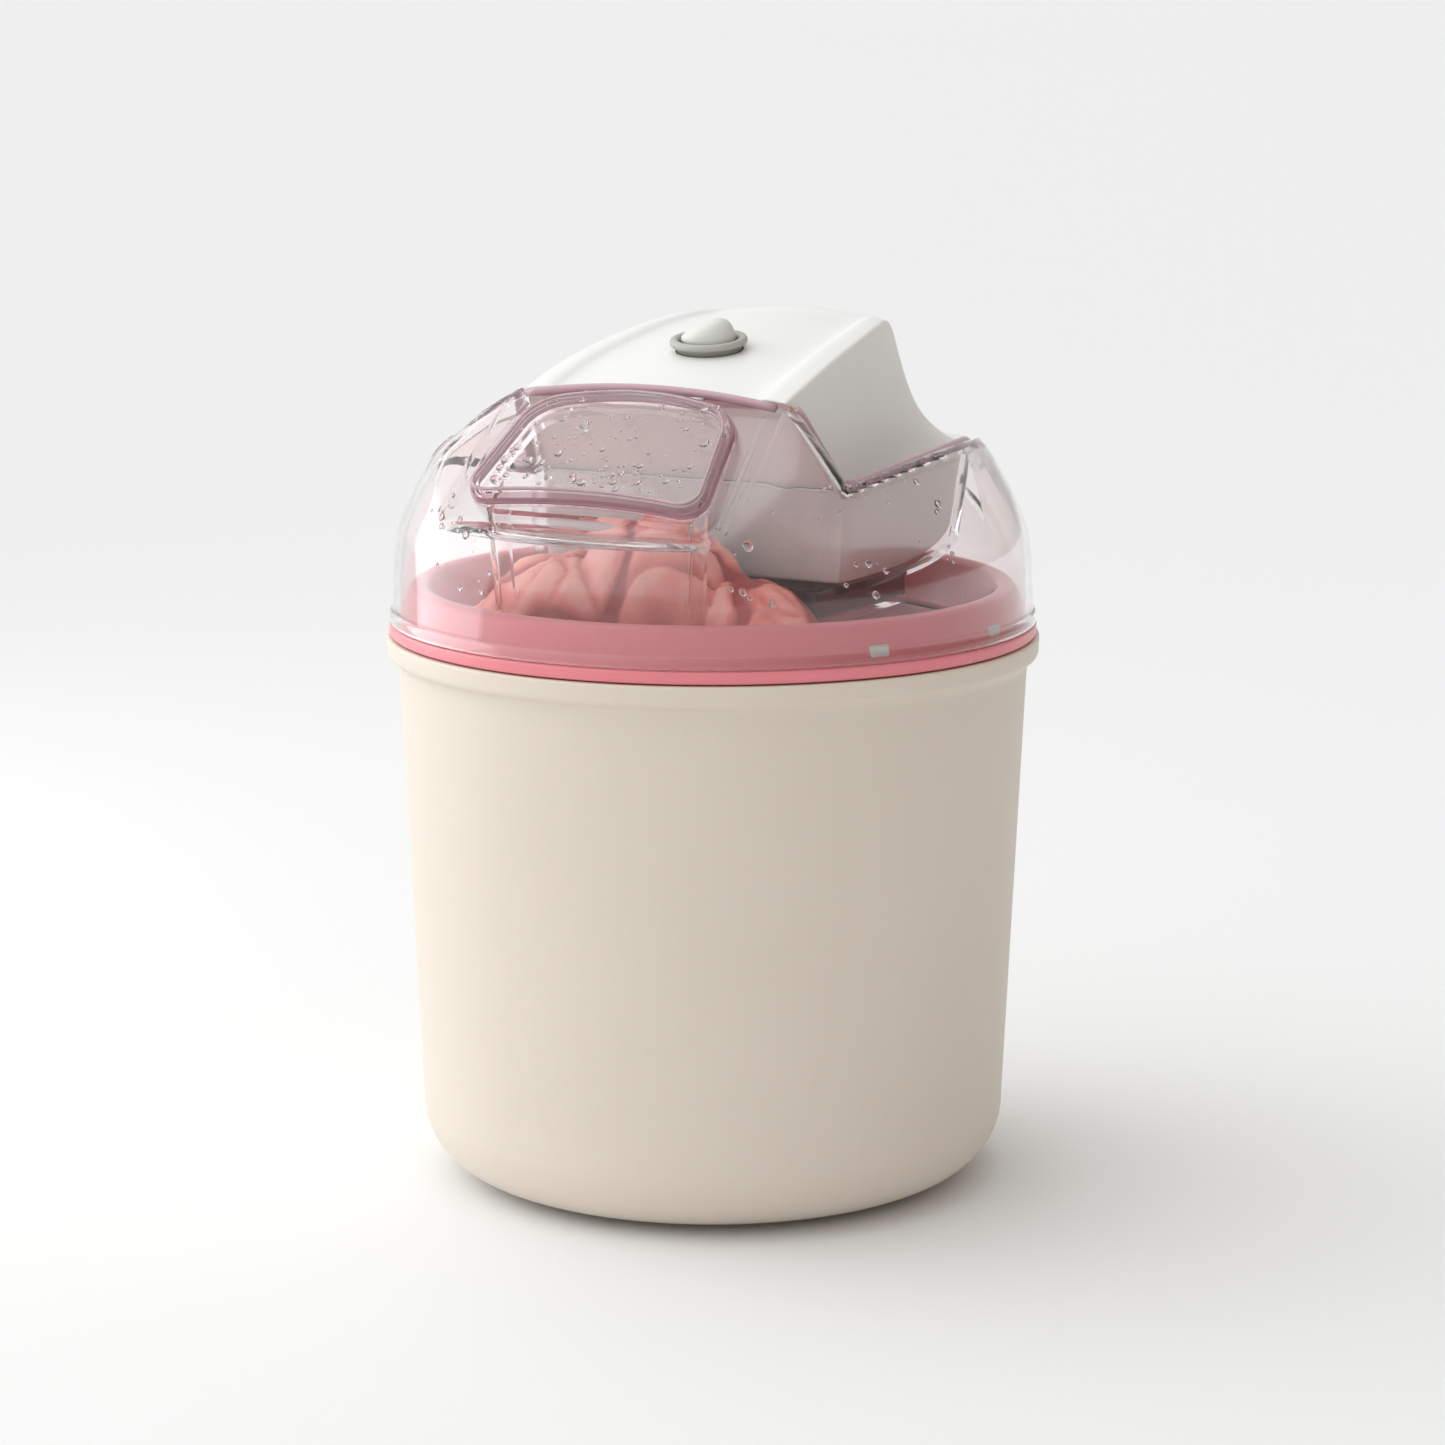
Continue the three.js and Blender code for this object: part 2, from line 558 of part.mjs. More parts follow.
for (const [place, [x, y]] of Object.entries(SCREW_PLACES)) {
  const z = POCKET.floor + 2.4;
  const head = solid(cylinder(SCREW.headR, z, z + SCREW.headZ - 0.4, x, y));
  add("housing_screw_" + place, head.add(solid(cylinder(SCREW.shankR, z, SCREW.top, x, y))), STEEL);
}

function gearboxCover() {
  const { clear, wall, boreR } = GEARBOX_COVER;
  const { stepHalf, stepFront, stepBack, stepFloor } = POCKET;
  const top = POCKET.floor - GAP;
  const box = (inset, high) => solid(block(
    -stepHalf + inset, stepHalf - inset, stepFront + inset, stepBack - inset, stepFloor + inset, high,
  ));
  return box(clear, top).subtract(box(clear + wall, top + wall)).subtract(bore(boreR));
}
add("gearbox_cover", gearboxCover(), DARK);

function switchBezel() {
  const rim = solid(oval(SWITCH.halfX + 3.1, SWITCH.halfY + 3.1, -0.9, 1.2));
  const barrel = solid(oval(SWITCH.halfX, SWITCH.halfY, -SWITCH.depth, 1));
  const well = solid(oval(SWITCH.halfX - 1.6, SWITCH.halfY - 1.6, -SWITCH.depth + 2, 5));
  return rim.add(barrel).subtract(well);
}
add("switch_bezel", switchBezel(), GREY);

function rocker() {
  const halfX = SWITCH.halfX - 2.1;
  const halfY = SWITCH.halfY - 2.1;
  const g = new THREE.SphereGeometry(1, 20, 8);
  const p = g.attributes.position;
  for (let i = 0; i < p.count; i++) {
    const [x, y, z] = [p.getX(i), p.getY(i), p.getZ(i)];
    const height = z > 0 ? z * (4.2 + 3.4 * x) : z * 3;
    p.setXYZ(i, x * halfX, y * halfY, height + 0.4);
  }
  return solid(g.applyMatrix4(switchFrame));
}
add("switch_rocker", rocker(), ROCKER);

// ---- Drive ----
function gearShape(teeth, module, tooth0, boreR = 0) {
  const pitchR = (teeth * module) / 2;
  const [root, tip] = [pitchR - 1.25 * module, pitchR + 0.85 * module];
  const step = (2 * Math.PI) / teeth;
  const shape = new THREE.Shape();
  const at = (r, a) => [r * Math.cos(a), r * Math.sin(a)];
  for (let i = 0; i < teeth; i++) {
    const a = tooth0 + i * step;
    const corners = [[root, -0.3], [tip, -0.12], [tip, 0.12], [root, 0.3]];
    corners.forEach(([r, f], k) => {
      const [x, y] = at(r, a + f * step);
      if (i === 0 && k === 0) shape.moveTo(x, y);
      else shape.lineTo(x, y);
    });
  }
  if (boreR > 0) {
    const bore = new THREE.Path();
    bore.absarc(0, 0, boreR, 0, 2 * Math.PI, true);
    shape.holes.push(bore);
  }
  return shape;
}

function gear(teeth, module, tooth0, z, thick, y, boreR = 0) {
  const g = new THREE.ExtrudeGeometry(gearShape(teeth, module, tooth0, boreR), {
    depth: thick, bevelEnabled: false, curveSegments: 8,
  });
  return solid(g.translate(0, y, z));
}
const BACKWARD = Math.PI / 2;
const halfTooth = (teeth) => Math.PI / teeth;
const OUT_SHAFT_R = 4;
const SOCKET = { r: 7.6, z0: 185.6, z1: 207, holeTop: 197.5 };

add("output_gear", gear(GEARS.outTeeth, 1, BACKWARD, GEARS.z, GEARS.thick, 0, OUT_SHAFT_R + GAP), NYLON);
function driveSocket() {
  const body = solid(cylinder(SOCKET.r, SOCKET.z0, SOCKET.z1));
  const shaft = solid(cylinder(OUT_SHAFT_R, SOCKET.z1 - 1, GEARS.z + GEARS.thick + 3));
  const hex = solid(cylinder(HEX_R + 0.5, SOCKET.z0 - 1, SOCKET.holeTop, 0, 0, 6));
  const relief = solid(cylinder(PADDLE.shaftR + 0.6, SOCKET.z0 - 1, PADDLE.tipZ - 9.4));
  return body.add(shaft).subtract(hex).subtract(relief);
}
add("drive_socket", driveSocket(), STEEL);

const idlerPinion = gear(GEARS.smallTeeth, 1, -BACKWARD + halfTooth(GEARS.smallTeeth), GEARS.z, 8.1, IDLER_Y);
const idlerWheel = gear(GEARS.bigTeeth, GEARS.bigModule, BACKWARD, GEARS.bigZ, GEARS.bigThick, IDLER_Y);
const IDLER_AXLE_R = 1.5;
const idlerBore = bore(IDLER_AXLE_R + GAP, 0, IDLER_Y);
const wheelTop = GEARS.bigZ + GEARS.bigThick;
add("idler_gear", idlerPinion.add(idlerWheel).subtract(idlerBore), NYLON);
add("idler_axle", solid(cylinder(IDLER_AXLE_R, PLATE.z1 + GAP, wheelTop + 2, 0, IDLER_Y)), STEEL);

const ROTOR_R = 1.5;
const rotorPinion = gear(GEARS.smallTeeth, GEARS.bigModule, -BACKWARD + halfTooth(GEARS.smallTeeth),
  GEARS.bigZ, GEARS.bigThick, MOTOR_Y, ROTOR_R + GAP);
add("rotor_pinion", rotorPinion, BRASS);
const CAN = { r: 17, z0: 214, z1: PLATE.z0 - GAP, base: 3 };
add("rotor_shaft", solid(cylinder(ROTOR_R, CAN.z0 + CAN.base + 1, wheelTop + 1, 0, MOTOR_Y)), STEEL);
const can = solid(cylinder(CAN.r, CAN.z0, CAN.z1, 0, MOTOR_Y, 32));
const canBore = solid(cylinder(ROTOR_R + 0.5, CAN.z0 + CAN.base, CAN.z1 + 1, 0, MOTOR_Y));
add("motor_can", can.subtract(canBore), STEEL);

const BUSH = { r: 6.8, length: 6.4 };
const ROTOR_CLEAR_R = 4;
const plate = solid(block(-PLATE.half, PLATE.half, PLATE.front, PLATE.back, PLATE.z0, PLATE.z1));
add("gear_plate", plate.subtract(bore(BUSH.r + GAP)).subtract(bore(ROTOR_CLEAR_R, 0, MOTOR_Y)), STEEL);

const bush = solid(cylinder(BUSH.r, PLATE.z1 - BUSH.length, PLATE.z1));
add("output_bush", bush.subtract(bore(OUT_SHAFT_R + GAP)), BRASS);

// Joins the mains lead to the switch and the motor, on the lower housing's floor beside the gearbox mouth.
const TERMINALS = { x: 41.5, y: 18, z: 207.4, wide: 10, deep: 14, high: 10 };
function terminals() {
  const t = TERMINALS;
  return solid(block(t.x, t.x + t.wide, t.y, t.y + t.deep, t.z, t.z + t.high));
}
add("terminal_block", terminals(), DARK);

function gland() {
  const body = solid(glandPart(GLAND.r, GLAND.inside + 1, GLAND.out));
  const flange = solid(glandPart(GLAND.flangeR, GLAND.inside, GLAND.wallY));
  return body.add(flange).subtract(solid(glandPart(GLAND.bore, GLAND.inside - 10, GLAND.out + 10)));
}
add("cord_gland", gland(), GREY);

export default root;
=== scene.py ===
"""Ice cream maker: detailed shells, clear lid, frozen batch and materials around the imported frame. Metres."""
import bpy
import bmesh
import math
import random
import numpy as np
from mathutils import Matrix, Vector, noise


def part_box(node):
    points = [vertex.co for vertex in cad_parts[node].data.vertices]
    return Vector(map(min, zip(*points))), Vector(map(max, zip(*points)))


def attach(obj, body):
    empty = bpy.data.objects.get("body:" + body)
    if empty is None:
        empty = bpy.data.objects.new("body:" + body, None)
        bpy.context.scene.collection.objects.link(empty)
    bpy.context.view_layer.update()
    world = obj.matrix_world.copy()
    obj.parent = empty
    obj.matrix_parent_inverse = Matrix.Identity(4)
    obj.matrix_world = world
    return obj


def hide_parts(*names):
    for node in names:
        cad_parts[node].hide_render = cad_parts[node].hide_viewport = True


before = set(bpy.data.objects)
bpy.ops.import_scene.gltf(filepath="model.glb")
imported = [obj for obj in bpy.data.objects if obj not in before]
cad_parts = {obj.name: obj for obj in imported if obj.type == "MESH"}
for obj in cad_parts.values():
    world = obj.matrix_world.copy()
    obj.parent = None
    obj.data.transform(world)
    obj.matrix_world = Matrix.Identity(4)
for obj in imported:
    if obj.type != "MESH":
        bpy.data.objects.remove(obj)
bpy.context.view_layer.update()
MM = 0.001
SHARP_ANGLE = math.radians(38)


# ---- Mesh helpers: sizes in millimetres ----
def new_object(name, verts, faces, material, smooth=True):
    mesh = bpy.data.meshes.new(name)
    mesh.from_pydata([Vector(v) * MM for v in verts], [], faces)
    mesh.validate()
    if smooth:
        mesh.polygons.foreach_set("use_smooth", [True] * len(mesh.polygons))
    mesh.update()
    obj = bpy.data.objects.new(name, mesh)
    bpy.context.scene.collection.objects.link(obj)
    obj.data.materials.append(material)
    return obj


def tidy_normals(obj):
    bm = bmesh.new()
    bm.from_mesh(obj.data)
    bmesh.ops.remove_doubles(bm, verts=bm.verts, dist=1e-6)
    bmesh.ops.recalc_face_normals(bm, faces=bm.faces)
    bm.to_mesh(obj.data)
    bm.free()
    return obj


def place(obj, body, slot, *nodes):
    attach(obj, body)
    if nodes:
        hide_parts(*nodes)
    return obj


def fillet(points, steps=5):
    """Rounds each (r, z, radius) corner of an outline; a corner without a radius stays sharp."""
    out = []
    count = len(points)
    for i, p in enumerate(points):
        radius = p[2] if len(p) > 2 else 0
        here = Vector(p[:2])
        if radius == 0 or i in (0, count - 1):
            out.append(here)
            continue
        before = Vector(points[i - 1][:2]) - here
        after = Vector(points[(i + 1) % count][:2]) - here
        start = here + before.normalized() * min(radius, before.length * 0.48)
        end = here + after.normalized() * min(radius, after.length * 0.48)
        for k in range(steps + 1):
            t = k / steps
            out.append(start * (1 - t) ** 2 + here * 2 * t * (1 - t) + end * t ** 2)
    return [(p.x, p.y) for p in out]


def lathe(name, outline, material, segments=160, closed=False):
    """A body of revolution from (r, z) points; a closed outline makes a ring."""
    rows = outline + [outline[0]] if closed else outline
    verts = []
    for r, z in rows:
        for k in range(segments):
            a = 2 * math.pi * k / segments
            verts.append((r * math.cos(a), r * math.sin(a), z))
    return tidy_normals(new_object(name, verts, grid_faces(segments, len(rows)), material))


def grid_faces(around, rows):
    """Faces between rings of points, each ring joined end to end."""
    faces = []
    for i in range(rows - 1):
        for k in range(around):
            n = (k + 1) % around
            faces.append((i * around + k, i * around + n, (i + 1) * around + n, (i + 1) * around + k))
    return faces


def closing_faces(around, rows):
    """Faces from the last ring of points back to the first."""
    last = (rows - 1) * around
    return [(last + k, last + (k + 1) % around, (k + 1) % around, k) for k in range(around)]


def prism_faces(count):
    """Two ends and the sides between them, for two outlines of the same number of points."""
    faces = [tuple(range(count)), tuple(range(count, 2 * count))]
    faces += [(k, (k + 1) % count, count + (k + 1) % count, count + k) for k in range(count)]
    return faces


def move_mesh(obj, x, y):
    for vert in obj.data.vertices:
        vert.co += Vector((x, y, 0)) * MM


def middle(low, high, axis):
    """Middle of a CAD node's box along an axis, in millimetres."""
    return (low[axis] + high[axis]) / 2 / MM


def add_modifier(obj, kind, **values):
    made = obj.modifiers.new(kind.lower(), kind)
    for key, value in values.items():
        setattr(made, key, value)
    return made


def apply_modifiers(obj):
    depsgraph = bpy.context.evaluated_depsgraph_get()
    mesh = bpy.data.meshes.new_from_object(obj.evaluated_get(depsgraph))
    obj.modifiers.clear()
    obj.data = mesh


def cut(obj, tool):
    add_modifier(obj, "BOOLEAN", object=tool, operation="DIFFERENCE", solver="EXACT")
    apply_modifiers(obj)
    bpy.data.objects.remove(tool)


def finish_surface(obj):
    """Smooth shading, kept crisp over the real edges."""
    obj.data.polygons.foreach_set("use_smooth", [True] * len(obj.data.polygons))
    obj.data.set_sharp_from_angle(angle=SHARP_ANGLE)
    add_modifier(obj, "WEIGHTED_NORMAL", keep_sharp=True)


# ---- Materials ----
def material(name, color, roughness, **sockets):
    mat = bpy.data.materials.new(name)
    mat.use_nodes = True
    shader = mat.node_tree.nodes["Principled BSDF"]
    shader.inputs["Base Color"].default_value = (*color, 1)
    shader.inputs["Roughness"].default_value = roughness
    for key, value in sockets.items():
        shader.inputs[key.replace("_", " ")].default_value = value
    return mat


def node(mat, kind, **values):
    made = mat.node_tree.nodes.new(kind)
    for key, value in values.items():
        if key in made.inputs:
            made.inputs[key].default_value = value
        else:
            setattr(made, key, value)
    return made


def link(mat, source, out, target, into):
    mat.node_tree.links.new(source.outputs[out], target.inputs[into])


def texture_noise(mat, scale, detail=3.0):
    texture = node(mat, "ShaderNodeTexNoise", Scale=scale, Detail=detail)
    place_by = node(mat, "ShaderNodeTexCoord")
    link(mat, place_by, "Object", texture, "Vector")
    return texture


def grain(mat, scale, strength, distance=0.0002, detail=3.0):
    """Fine relief of a moulded or turned surface."""
    shader = mat.node_tree.nodes["Principled BSDF"]
    texture = texture_noise(mat, scale, detail)
    bump = node(mat, "ShaderNodeBump", Strength=strength, Distance=distance)
    link(mat, texture, "Fac", bump, "Height")
    link(mat, bump, "Normal", shader, "Normal")


def mottle(mat, color_a, color_b, scale):
    """Slow change of colour over the surface."""
    shader = mat.node_tree.nodes["Principled BSDF"]
    texture = texture_noise(mat, scale)
    ramp = node(mat, "ShaderNodeValToRGB")
    for element, position, color in zip(ramp.color_ramp.elements, (0.35, 0.65), (color_a, color_b)):
        element.position = position
        element.color = (*color, 1)
    link(mat, texture, "Fac", ramp, "Fac")
    link(mat, ramp, "Color", shader, "Base Color")


def wear(mat, scale, low, high):
    """Roughness that changes over the surface, as handling leaves it."""
    shader = mat.node_tree.nodes["Principled BSDF"]
    texture = texture_noise(mat, scale)
    spread = node(mat, "ShaderNodeMapRange")
    spread.inputs["To Min"].default_value = low
    spread.inputs["To Max"].default_value = high
    link(mat, texture, "Fac", spread, "Value")
    link(mat, spread, "Result", shader, "Roughness")


def moulded(name, light, dark, roughness, relief=0.10, **sockets):
    """Moulded plastic: a fine grain, a slow change of colour and roughness from handling."""
    mat = material(name, light, roughness, **sockets)
    mottle(mat, dark, light, 9.0)
    wear(mat, 45.0, roughness - 0.04, roughness + 0.06)
    grain(mat, 1600.0, relief)
    return mat


def turned(name, color, roughness):
    """Machined metal."""
    mat = material(name, color, roughness, Metallic=1.0)
    wear(mat, 160.0, roughness - 0.06, roughness + 0.12)
    grain(mat, 900.0, 0.12)
    return mat


CREAM = moulded("cream_plastic", (0.75, 0.665, 0.575), (0.73, 0.645, 0.55), 0.42,
                Subsurface_Weight=0.08, Subsurface_Scale=0.004)
WHITE = moulded("white_plastic", (0.86, 0.855, 0.83), (0.84, 0.835, 0.81), 0.36)
PINK = moulded("pink_plastic", (0.83, 0.25, 0.285), (0.80, 0.235, 0.27), 0.28, 0.05,
               Subsurface_Weight=0.15, Subsurface_Scale=0.003)
BOWL_PINK = moulded("bowl_pink_plastic", (0.74, 0.24, 0.28), (0.70, 0.21, 0.25), 0.30, 0.05)
GREY = moulded("grey_plastic", (0.45, 0.45, 0.41), (0.42, 0.42, 0.385), 0.38)
ROCKER = moulded("rocker_plastic", (0.70, 0.71, 0.67), (0.67, 0.68, 0.64), 0.34)
DARK = moulded("dark_plastic", (0.13, 0.10, 0.12), (0.11, 0.085, 0.10), 0.42, 0.2)
RUBBER = moulded("soft_rubber", (0.66, 0.62, 0.54), (0.60, 0.56, 0.48), 0.75, 0.3)
GEL = moulded("coolant", (0.50, 0.68, 0.80), (0.45, 0.62, 0.76), 0.5, 0.2)
NYLON = moulded("nylon", (0.82, 0.80, 0.73), (0.78, 0.76, 0.69), 0.45, 0.15, Subsurface_Weight=0.1)
STEEL = turned("steel", (0.60, 0.61, 0.63), 0.30)
BRASS = turned("brass", (0.72, 0.53, 0.24), 0.30)


def clear_material(name, tint, roughness, ior, transmission=1.0):
    """Clear plastic, with a low IOR so that what is inside stays easy to see."""
    mat = material(name, tint, roughness, Transmission_Weight=transmission, IOR=ior,
                   Coat_Weight=1.0, Coat_Roughness=0.07)
    wear(mat, 30.0, roughness, roughness + 0.03)
    grain(mat, 70.0, 0.03, 0.0004, 1.0)
    return mat


CLEAR = clear_material("clear_plastic", (0.997, 0.963, 0.966), 0.02, 1.16)
CLEAR_INNER = clear_material("clear_plastic_inner", (0.995, 0.965, 0.968), 0.03, 1.05)
# A darker copy of the clear plastic for the hatch's upright sides: painted shade.
CLEAR_SIDE_SHADE = clear_material("clear_plastic_side_shade", (0.80, 0.60, 0.65), 0.10, 1.12)
# A darker, less clear tint for the thick edges of the clear mouldings: painted shade.
CLEAR_EDGE_SHADE = clear_material("clear_plastic_edge_shade", (0.68, 0.44, 0.50), 0.22, 1.15, transmission=0.3)
DEW = material("condensation", (1.0, 0.98, 0.98), 0.02, Transmission_Weight=1.0, IOR=1.33)
grain(DEW, 400.0, 0.05)


def ice_cream_material():
    """Pale on the lobes and deep red in the folds: the ice cream's own colour, with painted shade in the folds
    that the mesh marks with a point attribute.
    """
    mat = material("ice_cream", (0.78, 0.33, 0.30), 0.45, Subsurface_Weight=0.35, Subsurface_Scale=0.006)
    shader = mat.node_tree.nodes["Principled BSDF"]
    fold_shade = node(mat, "ShaderNodeAttribute", attribute_name="fold_shade")
    speckle = texture_noise(mat, 70.0, 6.0)
    total = node(mat, "ShaderNodeMath", operation="MULTIPLY_ADD")
    link(mat, speckle, "Fac", total, 0)
    total.inputs[1].default_value = 0.55
    link(mat, fold_shade, "Fac", total, 2)
    ramp = node(mat, "ShaderNodeValToRGB")
    # The deep red end of the ramp is painted shade in the folds; the paler stops are the ice cream's own
    # colour, varied by the speckle.
    stops = [(0.24, (0.96, 0.46, 0.40)), (0.46, (0.86, 0.27, 0.22)), (0.90, (0.42, 0.03, 0.025))]
    while len(ramp.color_ramp.elements) < len(stops):
        ramp.color_ramp.elements.new(0.5)
    for element, (position, color) in zip(ramp.color_ramp.elements, stops):
        element.position = position
        element.color = (*color, 1)
    link(mat, total, "Value", ramp, "Fac")
    link(mat, ramp, "Color", shader, "Base Color")
    grain(mat, 260.0, 0.55, 0.0012, 6.0)
    return mat


ICE = ice_cream_material()


# ---- Tub and feet ----
def tub():
    turns = np.linspace(0, math.pi / 2, 14)
    corner = [(74.9 + 22.6 * math.sin(a), 24.7 - 22.7 * math.cos(a)) for a in turns]
    side = fillet([
        (97.6, 28), (104, 171.5, 2), (104.6, 174.2, 1.6), (107.8, 176.4, 1.2), (108, 182.6, 0.9),
        (102.4, 182.7, 0.6), (101.6, 173, 2), (95, 25, 10), (89, 8, 10), (74, 4.6, 4), (0, 4.6),
    ], 6)
    obj = lathe("tub_shell", [(0, 2)] + corner + side, CREAM, 192)
    return place(obj, "housing", "cream_plastic", "outer_housing")


tub()


def foot(name):
    low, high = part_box(name)
    outline = fillet([(0, 0), (6.2, 0, 0.4), (6.9, 0.6, 0.4), (6.9, 1.5, 0.2), (0, 1.6)], 4)
    obj = lathe(name + "_pad", outline, RUBBER, 40)
    move_mesh(obj, middle(low, high, 0), middle(low, high, 1))
    return place(obj, "housing", "soft_rubber", name)


for foot_node in [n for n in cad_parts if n.startswith("foot_")]:
    foot(foot_node)


# ---- Bowl ----
def bowl():
    ring = fillet([
        (86.8, 183.2), (106.9, 183.1, 0.8), (107, 187.2, 1.0), (103.4, 187.6, 0.6), (101.4, 196.5, 2),
        (99.5, 199.9, 3), (94.5, 199.9, 2.4), (92.8, 196.5, 3), (88.0, 186.0, 2), (86.8, 183.2),
    ], 5)
    place(lathe("bowl_rim", ring, PINK, 192), "bowl", "pink_plastic", "bowl_ring")
    inner = fillet([
        (0, 50), (70, 50, 4), (79, 58, 4), (88, 182.3),
        (86.4, 182.4), (77.4, 59.6, 4), (69.4, 51.6, 4), (0, 51.6),
    ], 5)
    place(lathe("bowl_liner", inner, BOWL_PINK, 144), "bowl", "pink_plastic", "bowl_inner_shell")
    outer = fillet([
        (0, 36), (82, 36, 4), (90, 44, 5), (98, 182.3),
        (96.5, 182.3), (88.4, 45.6, 5), (80.4, 37.6, 4), (0, 37.6),
    ], 5)
    place(lathe("bowl_jacket", outer, PINK, 144), "bowl", "pink_plastic", "bowl_outer_shell")


bowl()


LUG_TURNS = (-30.0, 0.0)
LUG_HALF_ANGLE = 0.038
LUG_LOW, LUG_HIGH = 188.0, 192.9


def lock_lugs():
    """Small raised lugs on the ring's wall, a pair at each side, that the lid turns under."""
    verts = []
    faces = []
    for turn in range(2):
        for offset in LUG_TURNS:
            centre = math.radians(offset + 180 * turn)
            base = len(verts)
            for radius, spread in ((101.8, 1.0), (103.25, 0.9)):
                for z, a in ((LUG_LOW, -1), (LUG_LOW, 1), (LUG_HIGH, 1), (LUG_HIGH, -1)):
                    angle = centre + a * spread * LUG_HALF_ANGLE
                    shift = (1 - spread) * (6 if z == LUG_LOW else -6)
                    verts.append((radius * math.cos(angle), radius * math.sin(angle), z + shift))
            quads = [(4, 5, 6, 7), (0, 3, 2, 1), (0, 1, 5, 4), (1, 2, 6, 5), (2, 3, 7, 6), (3, 0, 4, 7)]
            faces += [tuple(base + i for i in quad) for quad in quads]
    obj = tidy_normals(new_object("lock_lugs", verts, faces, ROCKER, smooth=False))
    add_modifier(obj, "BEVEL", width=0.8 * MM, segments=3)
    return place(obj, "bowl", "pink_plastic")


lock_lugs()


# ---- The motor unit's form: curves in the side view, front to back ----
def smooth_curve(points):
    """A curve through points, read by a number from 0 to 1."""
    pts = np.array(points, float)
    padded = np.vstack([2 * pts[0] - pts[1], pts, 2 * pts[-1] - pts[-2]])

    def read(t):
        x = min(max(t, 0), 1) * (len(pts) - 1)
        i = min(int(x), len(pts) - 2)
        f = x - i
        a, b, c, d = padded[i:i + 4]
        square, cube = 2 * a - 5 * b + 4 * c - d, 3 * b - a - 3 * c + d
        return 0.5 * (2 * b + (c - a) * f + square * f ** 2 + cube * f ** 3)
    return read


APEX_Y, APEX_Z, HALF_WIDTH = -15.0, 234.5, 57.0
crown_line = smooth_curve([
    (-38.6, 268.4), (-19, 275), (0, 279.6), (20, 283.6), (36, 286.2), (50, 287), (60, 285.6),
    (66, 281), (67.6, 272), (67.4, 264), (69.5, 256), (75, 249.5), (83, 245.5), (90, 243.2),
])
CROWN_HALF_WIDTHS = (48.5, 48.3, 46.2, 44, 41.4, 37.2, 34, 32.6, 34, 36.6, 41, 46, 51, 54)
crown_half = smooth_curve([(width,) for width in CROWN_HALF_WIDTHS])


def lerp(a, b, t):
    return a + (b - a) * t


def motor_point(s, v, level, grow=0.0, relief=0.0):
    """s across from -1 to 1, v from front to back, level 0 floor, 1 lid edge, 2 crown."""
    floor = (lerp(APEX_Y, 76, v), lerp(204, 214, v ** 4))
    edge = (lerp(APEX_Y, 91, v), lerp(APEX_Z, 241.5, v))
    crown = crown_line(v)
    edge_half = HALF_WIDTH - 3 * v ** 3
    if level < 1:
        half = lerp(HALF_WIDTH - 2, edge_half, level)
        y, z = lerp(floor[0], edge[0], level), lerp(floor[1], edge[1], level)
    else:
        half = lerp(edge_half, crown_half(v)[0], level - 1)
        y, z = lerp(edge[0], crown[0], level - 1), lerp(edge[1], crown[1], level - 1)
    arch = 4.2 * s * s * max(0, level - 1)
    turn_in = 1 - 0.16 * abs(s) ** 6 * v ** 6
    y = (y + lerp(-grow, grow, v)) * turn_in
    return (s * (half + grow), y, z - arch + lerp(-grow, grow, level / 2) + relief)


def motor_cage(name, mat, levels, across, along, grow=0.0, relief=lambda s, v: 0.0):
    """A closed box of points over the motor unit's form."""
    nu, nv, nw = len(across), len(along), len(levels)
    index = {}
    verts = []
    for k, level in enumerate(levels):
        for j, v in enumerate(along):
            for i, s in enumerate(across):
                on_skin = i in (0, nu - 1) or j in (0, nv - 1) or k in (0, nw - 1)
                if on_skin:
                    index[i, j, k] = len(verts)
                    lift = relief(s, v) if k == nw - 1 else 0.0
                    verts.append(motor_point(s, v, level, grow, lift))
    faces = []
    for k in (0, nw - 1):
        for j in range(nv - 1):
            for i in range(nu - 1):
                faces.append([index[i, j, k], index[i + 1, j, k], index[i + 1, j + 1, k], index[i, j + 1, k]])
    for i in (0, nu - 1):
        for j in range(nv - 1):
            for k in range(nw - 1):
                faces.append([index[i, j, k], index[i, j + 1, k], index[i, j + 1, k + 1], index[i, j, k + 1]])
    for j in (0, nv - 1):
        for i in range(nu - 1):
            for k in range(nw - 1):
                faces.append([index[i, j, k], index[i + 1, j, k], index[i + 1, j, k + 1], index[i, j, k + 1]])
    return tidy_normals(new_object(name, verts, faces, mat))


def smoothstep(low, high, x):
    t = min(max((x - low) / (high - low), 0), 1)
    return t * t * (3 - 2 * t)


def top_relief(s, v):
    """The top is sunk between two rims that meet round the back."""
    inside = (1 - smoothstep(0.74, 0.84, abs(s))) * (1 - smoothstep(0.38, 0.45, v))
    return -2.8 * inside


SWITCH_Y, SWITCH_Z, SWITCH_TILT = -3.0, 279.2, math.radians(12)


def on_switch(x, y, z):
    """From the tilted switch's own frame to the machine's."""
    c, s = math.cos(SWITCH_TILT), math.sin(SWITCH_TILT)
    return (x, SWITCH_Y + c * y - s * z, SWITCH_Z + s * y + c * z)


def oval_tool(half_x, half_y, low, high):
    """An upright oval in the switch's frame."""
    segments = 64
    verts = []
    for z in (low, high):
        for k in range(segments):
            a = 2 * math.pi * k / segments
            verts.append(on_switch(half_x * math.cos(a), half_y * math.sin(a), z))
    return tidy_normals(new_object("oval_tool", verts, prism_faces(segments), WHITE, smooth=False))


def box_tool(x0, x1, y0, y1, z0, z1):
    verts = [(x, y, z) for z in (z0, z1) for x, y in ((x0, y0), (x1, y0), (x1, y1), (x0, y1))]
    faces = [(0, 1, 2, 3), (4, 5, 6, 7), (0, 1, 5, 4), (1, 2, 6, 5), (2, 3, 7, 6), (3, 0, 4, 7)]
    return tidy_normals(new_object("box_tool", verts, faces, WHITE, smooth=False))


def round_tool(radius, z0, z1, x=0.0, y=0.0):
    tool = lathe("round_tool", [(0, z0), (radius, z0), (radius, z1), (0, z1)], WHITE, 48)
    move_mesh(tool, x, y)
    return tool


